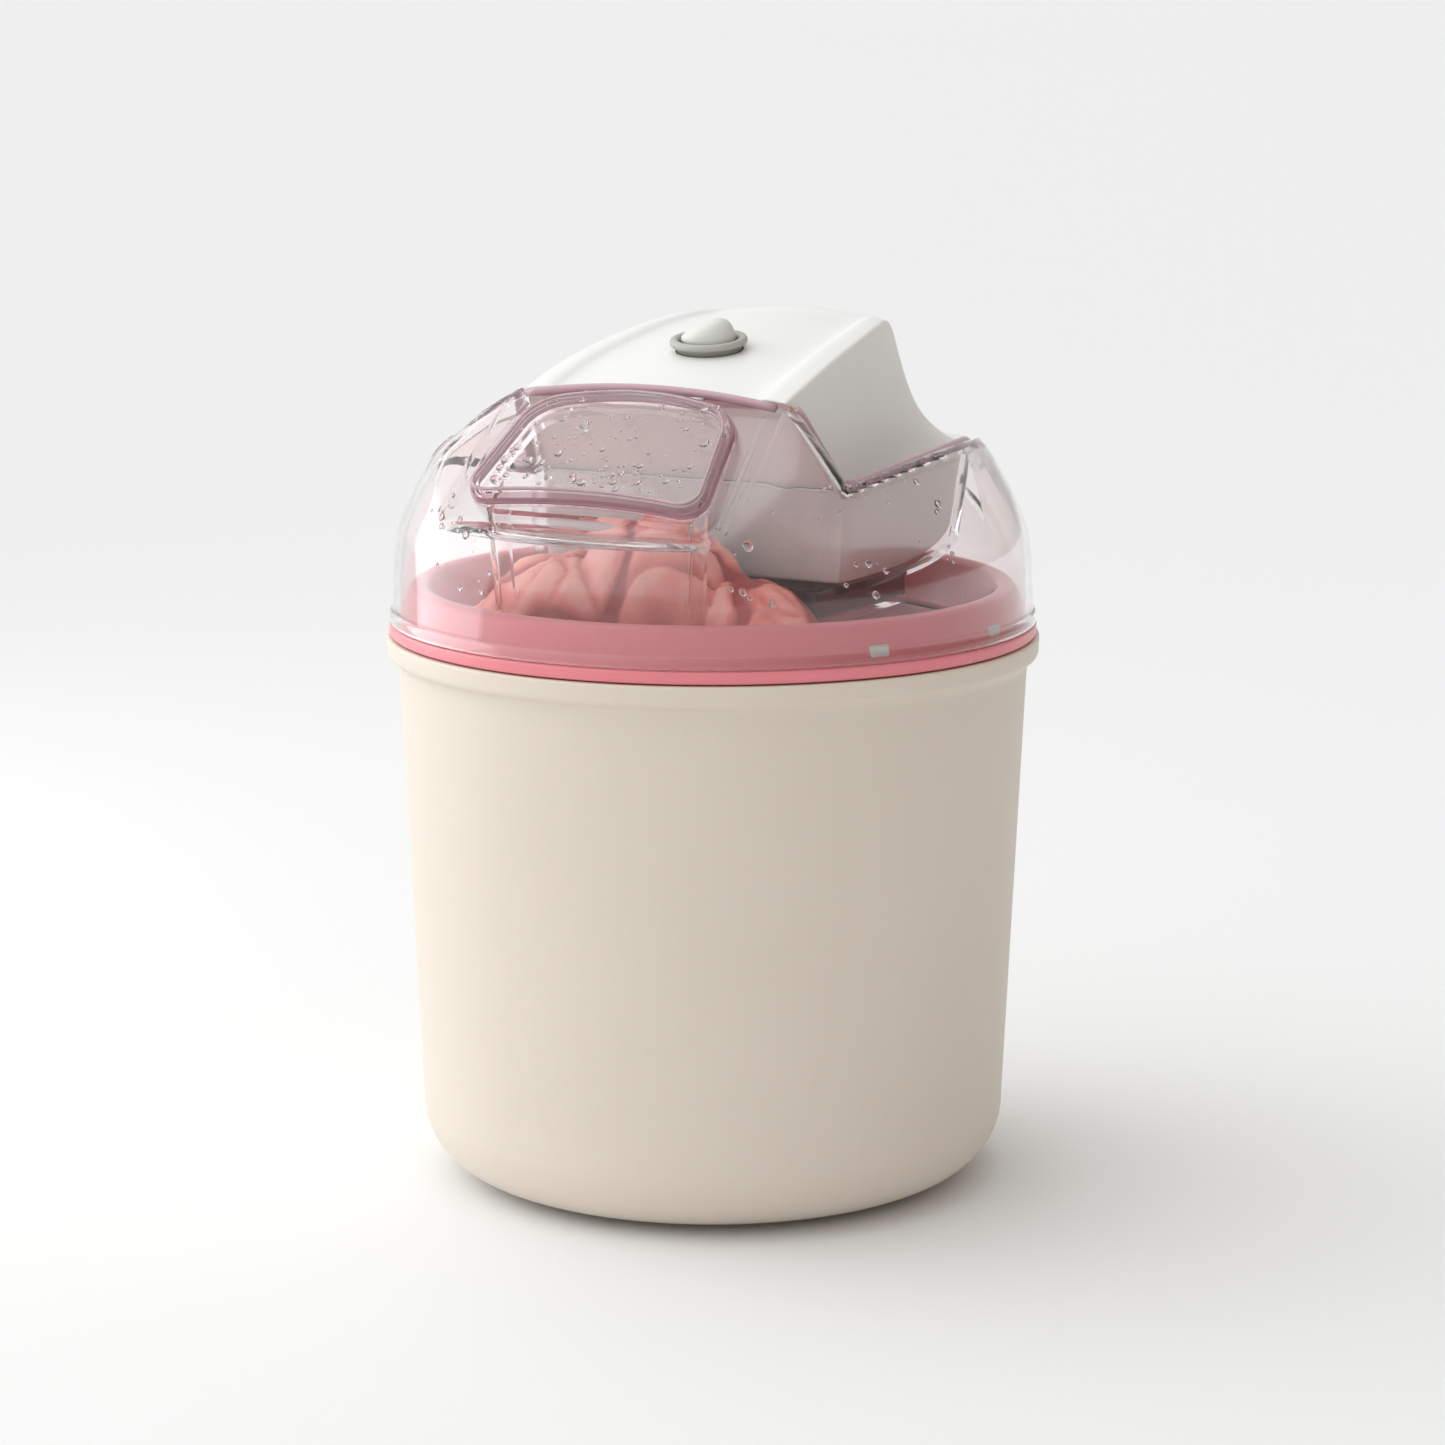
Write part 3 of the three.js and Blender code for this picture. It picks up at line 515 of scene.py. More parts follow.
def gland_tool():
    """The hole in the back for the cord gland."""
    low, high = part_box("cord_gland")
    start, z = low[1] / MM, middle(low, high, 2)
    radius = 5.3
    turns = np.linspace(0, 2 * math.pi, 33)[:-1]
    verts = []
    for y in (start - 4, start + 40):
        verts += [(radius * math.cos(a), y, z + radius * math.sin(a)) for a in turns]
    return tidy_normals(new_object("gland_tool", verts, prism_faces(len(turns)), WHITE, smooth=False))


# ---- Motor unit's casing ----
HOUSING_WALL = 2.2
HOOD_WALL = HOUSING_WALL + 0.8


def motor_top():
    """The hollow hood, with the switch's seat and the gland's hole."""
    across = (-1, -0.97, -0.85, -0.79, -0.73, -0.36, 0, 0.36, 0.73, 0.79, 0.85, 0.97, 1)
    along = [
        0, 0.02, 0.1, 0.18, 0.26, 0.34, 0.38, 0.42, 0.46, 0.5,
        0.54, 0.58, 0.62, 0.68, 0.74, 0.8, 0.87, 0.94, 0.985, 1,
    ]
    levels = [1.0, 1.005, 1.3, 1.7, 1.95, 2]
    obj = motor_cage("motor_hood", WHITE, levels, across, along, relief=top_relief)
    add_modifier(obj, "SUBSURF", levels=3, render_levels=3)
    apply_modifiers(obj)
    inside = motor_cage("hood_hollow", WHITE, [0.9, 1.2, 1.6, 1.95, 2], across, along, -HOOD_WALL)
    add_modifier(inside, "SUBSURF", levels=2, render_levels=2)
    apply_modifiers(inside)
    cut(obj, inside)
    cut(obj, oval_tool(13.8, 10.9, -1.5, 12))
    cut(obj, oval_tool(11.9, 9.0, -16, 12))
    cut(obj, gland_tool())
    finish_surface(obj)
    return place(obj, "motor_unit", "white_plastic", "motor_upper_housing")


motor_top()


def screw_place(name):
    low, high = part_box(name)
    return middle(low, high, 0), middle(low, high, 1)


SCREWS = [screw_place(n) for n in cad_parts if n.startswith("housing_screw")]


def motor_bottom():
    """The hollow tray, open below for the gearbox and the screws."""
    across = (-1, -0.96, -0.5, 0, 0.5, 0.96, 1)
    along = [0, 0.03, 0.2, 0.4, 0.6, 0.8, 0.95, 1]
    levels = [0, 0.06, 0.5, 0.992, 0.997]
    obj = motor_cage("motor_tray", WHITE, levels, across, along)
    inside = motor_cage("tray_hollow", WHITE, [0, 0.06, 0.5, 1.04, 1.1], across, along, -HOUSING_WALL)
    for part in (obj, inside):
        add_modifier(part, "SUBSURF", levels=2, render_levels=2)
        apply_modifiers(part)
    cut(obj, inside)
    cut(obj, box_tool(-40, 40, -9, 36, 195, 212))
    for x, y in SCREWS:
        cut(obj, round_tool(3.9, 195, 209, x, y))
    finish_surface(obj)
    return place(obj, "motor_unit", "white_plastic", "motor_lower_housing")


motor_bottom()


def screw_posts():
    """Four hollow posts that the housing screws run up, on the tray's floor."""
    outline = [(1.9, 209.4), (3.9, 209.4), (3.9, 207.4), (4.3, 207.4), (4.1, 228.6), (3.7, 229), (1.9, 229)]
    joined = bmesh.new()
    for x, y in SCREWS:
        post = lathe("screw_post", outline, WHITE, 40, closed=True)
        move_mesh(post, x, y)
        joined.from_mesh(post.data)
        bpy.data.objects.remove(post)
    mesh = bpy.data.meshes.new("screw_posts")
    joined.to_mesh(mesh)
    joined.free()
    mesh.materials.append(WHITE)
    obj = bpy.data.objects.new("screw_posts", mesh)
    bpy.context.scene.collection.objects.link(obj)
    add_modifier(obj, "BEVEL", width=0.2 * MM, segments=2, angle_limit=math.radians(40))
    return place(obj, "motor_unit", "white_plastic")


screw_posts()


# ---- Lid: dome, front facet with its ledge, and a finger notch at each side ----
LID_WALL = 2.4
LID_CENTRE = np.array((0.0, 0.0, 190.0))
DOME = [
    (105.9, 191.4), (105.6, 198), (105, 208.7), (103.8, 216.8), (100.8, 225), (96.8, 233),
    (90.5, 243.4), (82.2, 251), (72, 259.4), (63, 265.5), (45, 274), (24, 279.4), (0, 281.5),
]
dome_line = smooth_curve(DOME)
DOME_PROFILE = np.array([tuple(dome_line(k / 60)) for k in range(61)])
FACET_TOP = np.array((0, -38.6, 264.6))
FACET_LOW = np.array((0, -87.0, 226.0))
SLOPE = math.atan2(FACET_TOP[2] - FACET_LOW[2], FACET_TOP[1] - FACET_LOW[1])
FACET_NORMAL = np.array((0, -math.sin(SLOPE), math.cos(SLOPE)))
FACET_RUN = np.array((0, math.cos(SLOPE), math.sin(SLOPE)))
NOTCH_OUT = np.array((0.5, -0.85, 0.17))
NOTCH_TAIL = np.array((2.0, 100.0, 8.0))
NO_PLANE = 900.0
VALLEY_BLEND, FACET_BLEND, NOTCH_BLEND = 2.5, 2.0, 5.5


def plane_reach(directions, normal, point, inset):
    """How far a plane is from the lid's centre along each direction, or NO_PLANE where they never meet."""
    normal = normal / np.linalg.norm(normal)
    along = directions @ normal
    away = (point - LID_CENTRE) @ normal - inset
    return np.where(along > 1e-4, away / np.maximum(along, 1e-4), NO_PLANE)


def soft_min(a, b, k):
    """The smaller of two reaches, with a rounded change over a width of k."""
    h = np.clip(0.5 + 0.5 * (b - a) / k, 0, 1)
    return b * (1 - h) + a * h - k * h * (1 - h)


def soft_max(a, b, k):
    return -soft_min(-a, -b, k)


def lid_reach(directions, inset):
    """How far the lid's surface is from its centre along each direction."""
    rises = np.arctan2(DOME_PROFILE[:, 1] - LID_CENTRE[2], DOME_PROFILE[:, 0])
    reach = np.hypot(DOME_PROFILE[:, 0], DOME_PROFILE[:, 1] - LID_CENTRE[2]) - inset
    rise = np.arctan2(directions[:, 2], np.hypot(directions[:, 0], directions[:, 1]))
    out = np.interp(rise, rises, reach)
    facet = plane_reach(directions, FACET_NORMAL, FACET_TOP, inset)
    ledge = plane_reach(directions, np.array((0, 0, 1.0)), FACET_LOW, inset)
    out = soft_min(out, soft_max(facet, ledge, VALLEY_BLEND), FACET_BLEND)
    for side in (-1, 1):
        mirror = np.array((side, 1, 1))
        apex = np.array((HALF_WIDTH, APEX_Y, APEX_Z))
        front = np.cross(np.array((50, FACET_TOP[1] + 1, FACET_TOP[2] + 1)) - apex, NOTCH_OUT)
        tail = np.cross(NOTCH_OUT, NOTCH_TAIL)
        front = front if front[2] > 0 else -front
        tail = tail if tail[2] > 0 else -tail
        faces = [plane_reach(directions, n * mirror, apex * mirror, inset) for n in (front, tail)]
        out = soft_min(out, soft_max(*faces, VALLEY_BLEND), NOTCH_BLEND)
    return out


def lid_grid(inset, around, up):
    """Points of the lid's surface, ring by ring from its lower edge to its top."""
    rises = np.linspace(math.atan2(1.6, 106), math.pi / 2 - 0.002, up)
    turns = np.linspace(0, 2 * math.pi, around, endpoint=False)
    rise, turn = np.meshgrid(rises, turns, indexing="ij")
    rise, turn = rise.ravel(), turn.ravel()
    directions = np.stack((np.cos(rise) * np.cos(turn), np.cos(rise) * np.sin(turn), np.sin(rise)), 1)
    return LID_CENTRE + directions * lid_reach(directions, inset)[:, None]


def well_tool():
    """The way in for the motor unit, above the line of its edge."""
    front = APEX_Y - 2.0
    side = [
        (-40.4, 305), (-40.4, 266), (front, APEX_Z), (front, 196), (76, 196), (95, 241.5), (95, 305),
    ]
    half = HALF_WIDTH + 2.2
    verts = [(x, y, z) for x in (-half, half) for y, z in side]
    return tidy_normals(new_object("well_tool", verts, prism_faces(len(side)), CLEAR, smooth=False))


def hatch_outline(inset, steps=10):
    """The hatch seen square on, as (x, up the slope), anticlockwise from its low left corner."""
    wide, narrow, low, high = 44 - inset, 39 - inset, 7 + inset, 57 - inset
    corner = max(3.0, 9 - inset)
    bends = [
        ((-wide + corner, low), (0, low + 5), (wide - corner, low)),
        ((wide - corner, low), (wide, low), (wide - 0.4, low + corner)),
        ((narrow + 0.6, high - 14), (narrow - 2, high - 4), (narrow - 13, high - 2)),
        ((narrow - 13, high - 2), (0, high + 4), (-narrow + 13, high - 2)),
        ((-narrow + 13, high - 2), (-narrow + 2, high - 4), (-narrow - 0.6, high - 14)),
        ((-wide + 0.4, low + corner), (-wide, low), (-wide + corner, low)),
    ]
    out = []
    for start, middle, end in bends:
        for k in range(steps):
            t = k / steps
            out.append(tuple(
                start[i] * (1 - t) ** 2 + middle[i] * 2 * t * (1 - t) + end[i] * t ** 2 for i in (0, 1)
            ))
    return out


def on_facet(x, up_slope, proud):
    return tuple(np.array((x, 0, 0)) + FACET_LOW + FACET_RUN * up_slope + FACET_NORMAL * proud)


def facet_loft(name, layers, mat):
    """A closed solid through (inset, height) outlines of the hatch."""
    verts = []
    for inset, height in layers:
        verts += [on_facet(x, s, height) for x, s in hatch_outline(inset)]
    count = len(hatch_outline(0))
    faces = [tuple(range(count)), tuple(range(len(verts) - count, len(verts)))]
    for i in range(len(layers) - 1):
        a, b = i * count, (i + 1) * count
        faces += [(a + k, a + (k + 1) % count, b + (k + 1) % count, b + k) for k in range(count)]
    return tidy_normals(new_object(name, verts, faces, mat))


def lid():
    """The dome as one thick shell, with its skirt, then the ways in for the motor unit and the hatch."""
    around, up = 384, 128
    outside = lid_grid(0.0, around, up)
    inside = lid_grid(LID_WALL, around, up)
    skirt_out = [(106.9, 187.7), (107, 188.4), (107, 190.2), (106.4, 191.2)]
    skirt_in = [(103.5, 190.4), (104.2, 187.9)]

    def ring(r, z):
        angles = [2 * math.pi * k / around for k in range(around)]
        return [(r * math.cos(a), r * math.sin(a), z) for a in angles]
    verts = []
    for r, z in skirt_out:
        verts += ring(r, z)
    verts += [tuple(p) for p in outside]
    faces = grid_faces(around, len(skirt_out) + up)
    top_row = (len(skirt_out) + up - 1) * around
    faces.append(tuple(range(top_row, top_row + around)))
    first_inside = len(verts)
    for r, z in reversed(skirt_in):
        verts += ring(r, z)
    verts += [tuple(p) for p in inside]
    inner_faces = grid_faces(around, len(skirt_in) + up)
    faces += [tuple(first_inside + i for i in reversed(face)) for face in inner_faces]
    top_row = first_inside + (len(skirt_in) + up - 1) * around
    faces.append(tuple(range(top_row, top_row + around)))
    faces += [(k, first_inside + k, first_inside + (k + 1) % around, (k + 1) % around) for k in range(around)]
    obj = tidy_normals(new_object("lid_shell", verts, faces, CLEAR))
    cut(obj, well_tool())
    cut(obj, facet_loft("mouth_tool", [(3.5, -12), (3.5, 12)], CLEAR))
    finish_surface(obj)
    return place(obj, "lid", "clear_plastic", "lid_dome")


lid()


def pocket():
    """The clear tray that the motor unit sits in, open below for the gearbox's step."""
    rows = []
    levels = [0, 0.5, 0.985]
    gap, outside = 0.7, 2.9
    path = [(s, 0.0) for s in np.linspace(-1, 1, 13)] + [(1, v) for v in np.linspace(0.08, 1, 14)]
    path += [(s, 1.0) for s in np.linspace(0.85, -0.85, 12)] + [(-1, v) for v in np.linspace(1, 0.08, 14)]
    for grow, order in ((gap, levels), (outside, levels[::-1])):
        for level in order:
            rows.append([motor_point(s, v, level, grow) for s, v in path])
    count = len(path)
    verts = [p for row in rows for p in row]
    faces = grid_faces(count, len(rows))
    faces += [tuple((len(rows) - 1) * count + k for k in range(count)), tuple(range(count))]
    obj = tidy_normals(new_object("lid_tray", verts, faces, CLEAR_INNER))
    cut(obj, box_tool(-46, 46, -13, 50, 196, 206.5))
    add_modifier(obj, "BEVEL", width=0.7 * MM, segments=2, angle_limit=math.radians(40))
    return place(obj, "lid", "clear_plastic")


pocket()


def gearbox_step():
    """The clear step under the tray for the gearbox: an open box with rounded upright corners."""
    half, front, back, low, high, wall = 48.2, -15.2, 52.2, 188.8, 201.0, 2.2
    shaft_radius = 10.5

    def outline(inset, z):
        pts = []
        radius = 6 - inset
        corners = [(half, front, -90), (half, back, 0), (-half, back, 90), (-half, front, 180)]
        for x, y, start in corners:
            cx = x - math.copysign(inset + radius, x)
            cy = y + (inset + radius if y == front else -inset - radius)
            for k in range(7):
                a = math.radians(start + 15 * k)
                pts.append((cx + radius * math.cos(a), cy + radius * math.sin(a), z))
        return pts
    outside = [outline(0, high), outline(0, low + 1), outline(1, low)]
    inside = [outline(wall, low + wall), outline(wall, high)]
    rows = outside + inside
    count = len(rows[0])
    verts = [p for row in rows for p in row]
    faces = grid_faces(count, len(outside))
    faces += [tuple(2 * count + k for k in range(count))]
    inner = [tuple(3 * count + i for i in face) for face in grid_faces(count, len(inside))]
    faces += inner + [tuple(3 * count + k for k in range(count))]
    faces += [(k, (k + 1) % count, 4 * count + (k + 1) % count, 4 * count + k) for k in range(count)]
    obj = tidy_normals(new_object("lid_step", verts, faces, CLEAR_INNER))
    cut(obj, round_tool(shaft_radius, low - 3, low + wall + 3))
    add_modifier(obj, "BEVEL", width=0.4 * MM, segments=2, angle_limit=math.radians(50))
    return place(obj, "lid", "clear_plastic")


gearbox_step()


def chute():
    """The clear baffle under the hatch's lower edge."""
    outer, inner = 38.0, 36.2
    plan = [(-outer, -68), (-outer, -78), (-36, -80), (36, -80), (outer, -78), (outer, -68),
            (inner, -68), (inner, -77), (35, -78.2), (-35, -78.2), (-inner, -77), (-inner, -68)]
    verts = []
    for low in (True, False):
        for x, y in plan:
            top = FACET_LOW[2] + (y - FACET_LOW[1]) * math.tan(SLOPE) - 3.4
            taper = 0.93 if low else 1.0
            verts.append((x * taper, y * (0.97 if low else 1.0), 190.5 if low else top))
    obj = tidy_normals(new_object("lid_chute", verts, prism_faces(len(plan)), CLEAR, smooth=False))
    add_modifier(obj, "BEVEL", width=0.35 * MM, segments=2, angle_limit=math.radians(30))
    return place(obj, "lid", "clear_plastic")


chute()


def hatch():
    """The hatch's hollow cap; its upright sides, seen edge on, get a darker tint that is painted shade."""
    layers = [(2.2, 0.4), (0, 0.4), (0.2, 3.0), (0.9, 6.2), (1.5, 6.8), (2.4, 7.0)]
    obj = facet_loft("hatch_cap", layers, CLEAR)
    tool = facet_loft("hatch_hollow", [(2.4, -2), (2.8, 4.2), (3.6, 5.0)], CLEAR)
    cut(obj, tool)
    obj.data.materials.clear()
    obj.data.materials.append(CLEAR)
    obj.data.materials.append(CLEAR_SIDE_SHADE)
    up = Vector(FACET_NORMAL)
    # Faces that stand up from the facet take the darker tint: painted shade on the hatch's sides.
    for face in obj.data.polygons:
        face.material_index = 1 if abs(face.normal.dot(up)) < 0.5 else 0
    finish_surface(obj)
    return place(obj, "hatch", "clear_plastic", "filler_hatch")


hatch()


# ---- Ribbons: the thick edges of the clear mouldings, in a darker tint that is painted shade ----
def ribbon(name, path, radius, mat, body, closed=False, flat=1.0, centre=None):
    """A rounded strip along a path; flat is its width over its height, one number or one for each point.
    It lies level, or square to the line from a centre."""
    sides = 12
    flats = flat if isinstance(flat, list) else [flat] * len(path)
    verts = []
    pts = [np.array(p, float) for p in path]
    count = len(pts)
    for i, p in enumerate(pts):
        before = pts[i - 1] if (closed or i > 0) else p
        after = pts[(i + 1) % count] if (closed or i < count - 1) else p
        along = after - before
        along /= np.linalg.norm(along)
        side = np.cross(along, (0, 0, 1) if centre is None else p - centre)
        side = side / max(np.linalg.norm(side), 1e-6)
        up = np.cross(side, along)
        for k in range(sides):
            a = 2 * math.pi * k / sides
            verts.append(tuple(p + radius * (math.cos(a) * side * flats[i] + math.sin(a) * up)))
    faces = grid_faces(sides, count)
    if closed:
        faces += closing_faces(sides, count)
    else:
        faces += [tuple(range(sides)), tuple((count - 1) * sides + k for k in range(sides))]
    obj = tidy_normals(new_object(name, verts, faces, mat))
    return place(obj, body, "clear_plastic")


EDGE_RADIUS = 1.3


def on_lid(point, sunk=0.0):
    """The point of the lid's outer surface on the line from its centre through a point."""
    away = np.array(point, float) - LID_CENTRE
    direction = away / np.linalg.norm(away)
    return LID_CENTRE + direction * (lid_reach(direction[None, :], 0.0)[0] - sunk)


def lid_edge(side, label):
    """The thick edge of the lid beside the motor unit, in a darker tint that is painted shade: along its flank,
    then up to the facet.
    """
    path = []
    flats = []
    for v in np.linspace(0.93, 0.0, 34):
        half_width = lerp(2.4, 1.2, smoothstep(0.66, 0.93, v))
        path.append(on_lid(motor_point(side, v, 1.0, half_width + 0.5)))
        flats.append(half_width / EDGE_RADIUS)
    for level in np.linspace(1.08, 1.86, 12):
        half_width = lerp(2.2, 1.6, level - 1)
        path.append(on_lid(motor_point(side, 0.0, level, half_width + 0.2)))
        flats.append(half_width / EDGE_RADIUS)
    ribbon("lid_edge_" + label, path, EDGE_RADIUS, CLEAR_EDGE_SHADE, "lid", flat=flats, centre=LID_CENTRE)


lid_edge(-1, "left")
lid_edge(1, "right")
# The lid's front edge, in the darker edge tint: painted shade.
front_edge = [(46.4 * s, -40.7, 266.3 - 3.7 * s * s) for s in np.linspace(-1, 1, 25)]
ribbon("lid_edge_front", front_edge, 1.5, CLEAR_EDGE_SHADE, "lid", flat=0.8)


def facet_ridges():
    """Raised lines down both sides of the facet, which close the corner between it and the notch."""
    outer = smooth_curve([(51.5, -43.0, 262.6), (54.5, -58, 254), (55.0, -72, 243.5), (52.4, -84.2, 229)])
    inner = smooth_curve([(45.6, -46, 262.6), (48.6, -62, 250.8), (50.4, -75, 240.4), (50.6, -84.6, 231)])
    for side, label in ((-1, "left"), (1, "right")):
        for line, place_name in ((outer, "outer"), (inner, "inner")):
            path = [on_lid(line(t) * np.array((side, 1, 1)), 0.2) for t in np.linspace(0, 1, 24)]
            ribbon("facet_ridge_%s_%s" % (place_name, label), path, 0.95, CLEAR_INNER, "lid")


facet_ridges()
# The hatch's rim and brow, in the darker edge tint: painted shade.
hatch_rim = [on_facet(x, s, 2.2) for x, s in hatch_outline(1.1)]
ribbon("hatch_edge", hatch_rim, 1.05, CLEAR_EDGE_SHADE, "hatch", closed=True)
hatch_brow = [on_facet(x, s, 6.5) for x, s in hatch_outline(2.2)]
ribbon("hatch_brow", hatch_brow, 0.55, CLEAR_EDGE_SHADE, "hatch", closed=True)


# ---- Hinge pin: hidden under the hatch's top edge ----
def hinge_pin():
    low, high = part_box("hatch_pin")
    y, z = middle(low, high, 1), middle(low, high, 2) - 2.0
    path = [(x, y, z) for x in np.linspace(-22, 22, 12)]
    obj = ribbon("hatch_hinge_pin", path, 0.9, STEEL, "lid")
    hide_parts("hatch_pin")
    return obj


hinge_pin()


# ---- Switch ----
def switch_bezel():
    """An oval ring, from (half length, half width, height) rows round its section."""
    section = (
        (11.5, 8.6, -12), (11.5, 8.6, -1.3), (13.4, 10.5, -1.3), (13.5, 10.6, -0.2), (13.1, 10.2, 0.5),
        (12.1, 9.2, 0.8), (11.0, 8.1, 0.5), (10.5, 7.6, -0.6), (10.4, 7.5, -10), (10.4, 7.5, -12),
    )
    around = 96
    verts = []
    for half_x, half_y, z in section:
        for k in range(around):
            a = 2 * math.pi * k / around
            verts.append(on_switch(half_x * math.cos(a), half_y * math.sin(a), z))
    faces = grid_faces(around, len(section)) + closing_faces(around, len(section))
    obj = tidy_normals(new_object("switch_surround", verts, faces, GREY))
    return place(obj, "motor_unit", "grey_plastic", "switch_bezel")


def rocker():
    """The domed oval button, higher at one end."""
    rings, around = 24, 64
    verts = []
    for i in range(rings + 1):
        rise = math.pi * i / rings - math.pi / 2
        for k in range(around):
            a = 2 * math.pi * k / around
            flat = abs(math.cos(rise)) ** 0.7
            x, y, z = flat * math.cos(a), flat * math.sin(a), math.sin(rise)
            height = z * (5.6 + 3.2 * x) if z > 0 else z * 3
            verts.append(on_switch(x * 9.6, y * 6.8, height + 0.4))
    faces = grid_faces(around, rings + 1)
    obj = tidy_normals(new_object("switch_paddle", verts, faces, ROCKER))
    return place(obj, "switch", "rocker_plastic", "switch_rocker")


switch_bezel()
rocker()


# ---- Ice cream ----
BATCH_R = 84.0
BATCH_LEVEL = 178.0
# Soft lobes of the heap: centre x, y, half sizes along x and y, height over the frozen surface.
LOBES = (
    (4, -42, 38, 25, 48), (-24, -46, 42, 26, 35), (36, -42, 34, 25, 32), (14, -54, 26, 15, 37),
    (-46, -40, 28, 24, 22),
)


def lobe_height(lobe, x, y):
    """Height of one lobe, falling below the surface outside it."""
    cx, cy, rx, ry, high = lobe
    away = ((x - cx) / rx) ** 2 + ((y - cy) / ry) ** 2
    return high * math.sqrt(1 - away) if away < 1 else -30 * (away - 1)


def crease(x, y, scale, seed):
    """1 in the middle of a winding crease, 0 away from it."""
    bend = noise.noise(Vector((x * 0.035, y * 0.035, seed + 5.0))) * 9
    value = noise.noise(Vector(((x + bend) * scale, (y - bend) * scale * 1.5, seed)))
    return 1 - smoothstep(0.0, 0.13, abs(value))


def batch_height(x, y):
    """Height of the frozen surface, and how much painted shade the point gets from how deep in a fold or seam
    it is.
    """
    sway_x, sway_y = (5 * noise.noise(Vector((x * 0.04, y * 0.04, seed))) for seed in (1.0, 7.0))
    heights = sorted((lobe_height(lobe, x + sway_x, y + sway_y) for lobe in LOBES), reverse=True)
    first, second = heights[0], heights[1]
    seam_depth_and_shade = max(0.0, 1 - (first - second) / 3.2) if first > 4 else 0.0
    churn = 1.5 * noise.fractal(Vector((x * 0.07, y * 0.07, 3.0)), 0.9, 2.0, 4)
    heap = max(first, 0.0)
    on_heap = smoothstep(5, 16, heap)
    fold_depth_and_shade = max(crease(x, y, 0.026, 2.0), 0.3 * crease(x, y, 0.055, 11.0)) * on_heap
    tall = heap + churn - 1.2 * seam_depth_and_shade * on_heap - 2.6 * fold_depth_and_shade
    keep = smoothstep(19, 25, -y)
    level = BATCH_LEVEL - 5 * (math.hypot(x, y) / BATCH_R) ** 6
    # The second value is painted shade for the folds and the seams between lobes, which also sink the surface.
    return level + tall * keep + churn * 0.3 * (1 - keep), (0.35 * seam_depth_and_shade + 0.80 * fold_depth_and_shade) * keep


def batch():
    """The frozen batch as a thick ring, with a heap of lobes at the front."""
    around, rings = 260, 150
    bore = 13.2
    underside = ((bore, 152), (58.6, 152), (58.6, 101), (79.5, 101), (82.4, 160))
    verts = []
    fold_depth_and_shade = []
    for i in range(rings):
        r = lerp(BATCH_R, bore, i / (rings - 1))
        for k in range(around):
            a = 2 * math.pi * k / around
            x, y = r * math.cos(a), r * math.sin(a)
            z, fold_shade = batch_height(x, y)
            verts.append((x, y, z))
            fold_depth_and_shade.append(fold_shade)
    for r, z in underside:
        for k in range(around):
            a = 2 * math.pi * k / around
            verts.append((r * math.cos(a), r * math.sin(a), z))
            fold_depth_and_shade.append(0.2)
    rows = rings + len(underside)
    faces = grid_faces(around, rows) + closing_faces(around, rows)
    obj = new_object("frozen_batch", verts, faces, ICE)
    # A point attribute that carries the painted shade of the folds.
    attribute = obj.data.attributes.new("fold_shade", "FLOAT", "POINT")
    attribute.data.foreach_set("value", fold_depth_and_shade)
    bm = bmesh.new()
    bm.from_mesh(obj.data)
    bmesh.ops.recalc_face_normals(bm, faces=bm.faces)
    bm.to_mesh(obj.data)
    bm.free()
    return place(obj, "bowl", "ice_cream", "ice_cream")


batch()


# ---- Condensation on the hatch and beside it ----
DROP_RADII = (0.35, 0.5, 0.5, 0.7, 0.7, 1.0, 1.4)


def droplets(name, body, count, where, seed):
    """Flattened drops, at places and facing directions that a function draws."""
    rng = random.Random(seed)
    bm = bmesh.new()
    for _ in range(count):
        centre, normal = where(rng)
        size = rng.choice(DROP_RADII) * rng.uniform(0.8, 1.2)
        made = bmesh.ops.create_icosphere(bm, subdivisions=2, radius=1.0)["verts"]
        up = Vector(normal).normalized()
        side = up.orthogonal().normalized()
        other = up.cross(side)
        for vert in made:
            local = vert.co.copy()
            shift = side * local.x * size + other * local.y * size * 1.15 + up * (local.z * size * 0.5)
            vert.co = (Vector(centre) + shift) * MM
    mesh = bpy.data.meshes.new(name)
    bm.to_mesh(mesh)
    bm.free()
    mesh.polygons.foreach_set("use_smooth", [True] * len(mesh.polygons))
    obj = bpy.data.objects.new(name, mesh)
    bpy.context.scene.collection.objects.link(obj)
    obj.data.materials.append(DEW)
    return place(obj, body, "clear_plastic")


def on_hatch(rng):
    x = rng.uniform(-34, 34)
    s = rng.uniform(16, 52) if rng.random() < 0.6 else rng.uniform(12, 24)
    return on_facet(x, s, 7.0), FACET_NORMAL


def on_shoulder(rng):
    turn = math.radians(rng.choice((rng.uniform(-62, -8), rng.uniform(-130, -100))))
    rise = math.radians(rng.uniform(8, 30))
    across, up = math.cos(rise), math.sin(rise)
    direction = np.array([[across * math.cos(turn), across * math.sin(turn), up]])
    point = LID_CENTRE + direction[0] * lid_reach(direction, 0.0)[0]
    return tuple(point), tuple(direction[0])


droplets("hatch_dew", "hatch", 150, on_hatch, 4)
droplets("lid_dew", "lid", 60, on_shoulder, 9)


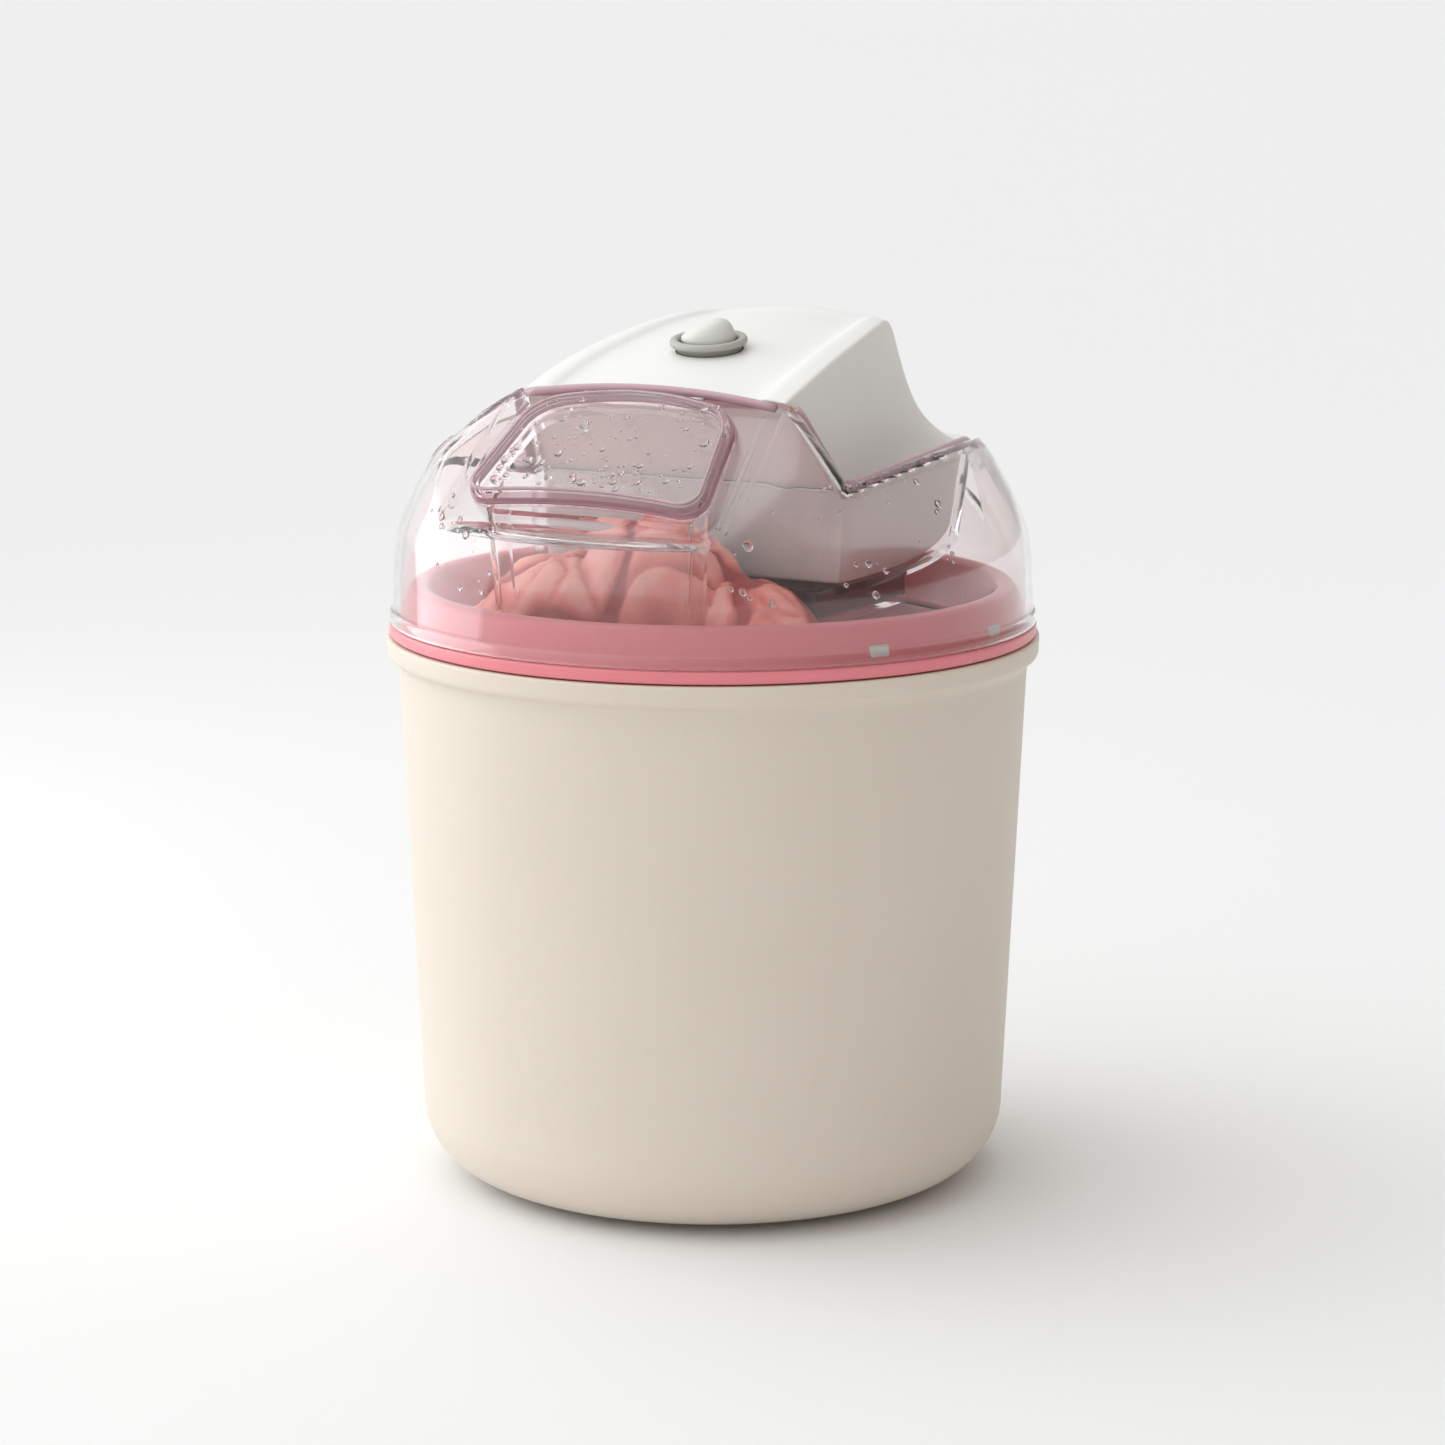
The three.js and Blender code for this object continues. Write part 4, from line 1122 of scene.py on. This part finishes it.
# ---- Carried-over nodes ----
NODE_MATERIALS = {
    "coolant_gel": GEL, "bowl_seal": RUBBER, "paddle": NYLON,
    "gearbox_cover": DARK, "output_gear": NYLON, "idler_gear": NYLON, "drive_socket": STEEL,
    "idler_axle": STEEL, "rotor_shaft": STEEL, "rotor_pinion": BRASS, "motor_can": STEEL,
    "gear_plate": STEEL, "output_bush": BRASS, "terminal_block": DARK, "cord_gland": GREY,
}
for name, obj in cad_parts.items():
    mat = STEEL if name.startswith("housing_screw") else NODE_MATERIALS.get(name)
    if mat is None:
        continue
    if not obj.material_slots:
        obj.data.materials.append(mat)
    for material_slot in obj.material_slots:
        material_slot.material = mat
    add_modifier(obj, "BEVEL", width=0.35 * MM, segments=2, angle_limit=math.radians(35))


# ---- Floor, light and camera ----
def stage():
    size = 40.0
    mesh = bpy.data.meshes.new("floor")
    corners = [(-size, -size, 0), (size, -size, 0), (size, size, 0), (-size, size, 0)]
    mesh.from_pydata(corners, [], [(0, 1, 2, 3)])
    floor = bpy.data.objects.new("floor", mesh)
    bpy.context.scene.collection.objects.link(floor)
    paper = material("paper", (0.86, 0.86, 0.86), 0.9)
    grain(paper, 60.0, 0.02)
    floor.data.materials.append(paper)


def area_light(name, position, target, size, power, color):
    data = bpy.data.lights.new(name, "AREA")
    data.shape = "DISK"
    data.size = size
    data.energy = power
    data.color = color
    obj = bpy.data.objects.new(name, data)
    bpy.context.scene.collection.objects.link(obj)
    obj.location = position
    obj.rotation_euler = (Vector(target) - Vector(position)).to_track_quat("-Z", "Y").to_euler()


def world_light():
    """A room that is bright and neutral on the left and dimmer and warmer on the right."""
    world = bpy.data.worlds.new("studio")
    world.use_nodes = True
    tree = world.node_tree
    place_by = tree.nodes.new("ShaderNodeTexCoord")
    toward = tree.nodes.new("ShaderNodeVectorMath")
    toward.operation = "DOT_PRODUCT"
    toward.inputs[1].default_value = (-0.82, -0.36, 0.45)
    spread = tree.nodes.new("ShaderNodeMapRange")
    spread.inputs["From Min"].default_value = -1.0
    ramp = tree.nodes.new("ShaderNodeValToRGB")
    ramp.color_ramp.elements[0].color = (0.13, 0.085, 0.05, 1)
    ramp.color_ramp.elements[1].color = (1.22, 1.24, 1.24, 1)
    tree.links.new(place_by.outputs["Generated"], toward.inputs[0])
    tree.links.new(toward.outputs["Value"], spread.inputs["Value"])
    tree.links.new(spread.outputs["Result"], ramp.inputs["Fac"])
    tree.links.new(ramp.outputs["Color"], tree.nodes["Background"].inputs["Color"])
    return world


def lighting():
    """A broad soft light high on the left, a disc lower down at the left, and the room all round."""
    scene = bpy.context.scene
    scene.world = world_light()
    sun = bpy.data.lights.new("sky_panel", "SUN")
    sun.energy = 0.62
    sun.angle = math.radians(80)
    sun.color = (0.97, 1.0, 1.03)
    panel = bpy.data.objects.new("sky_panel", sun)
    scene.collection.objects.link(panel)
    panel.rotation_euler = Vector((-0.90, -0.26, 1.5)).to_track_quat("Z", "Y").to_euler()
    area_light("side_panel", (-0.90, -0.22, 0.36), (0, 0, 0.14), 0.9, 2.8, (0.97, 1.0, 1.02))
    scene.view_settings.view_transform = "Standard"


CAMERA = {"azimuth": 30.0, "pitch": 10.8, "away": 1.320, "height": 0.403, "lens": 100.45, "shift": 0.0066}


def camera():
    turn, pitch = math.radians(CAMERA["azimuth"]), math.radians(CAMERA["pitch"])
    data = bpy.data.cameras.new("camera")
    data.sensor_width = 36
    data.lens = CAMERA["lens"]
    data.shift_x = CAMERA["shift"]
    obj = bpy.data.objects.new("camera", data)
    bpy.context.scene.collection.objects.link(obj)
    obj.location = (math.sin(turn) * CAMERA["away"], -math.cos(turn) * CAMERA["away"], CAMERA["height"])
    obj.rotation_euler = (math.pi / 2 - pitch, 0, turn)
    bpy.context.scene.camera = obj


stage()
lighting()
camera()
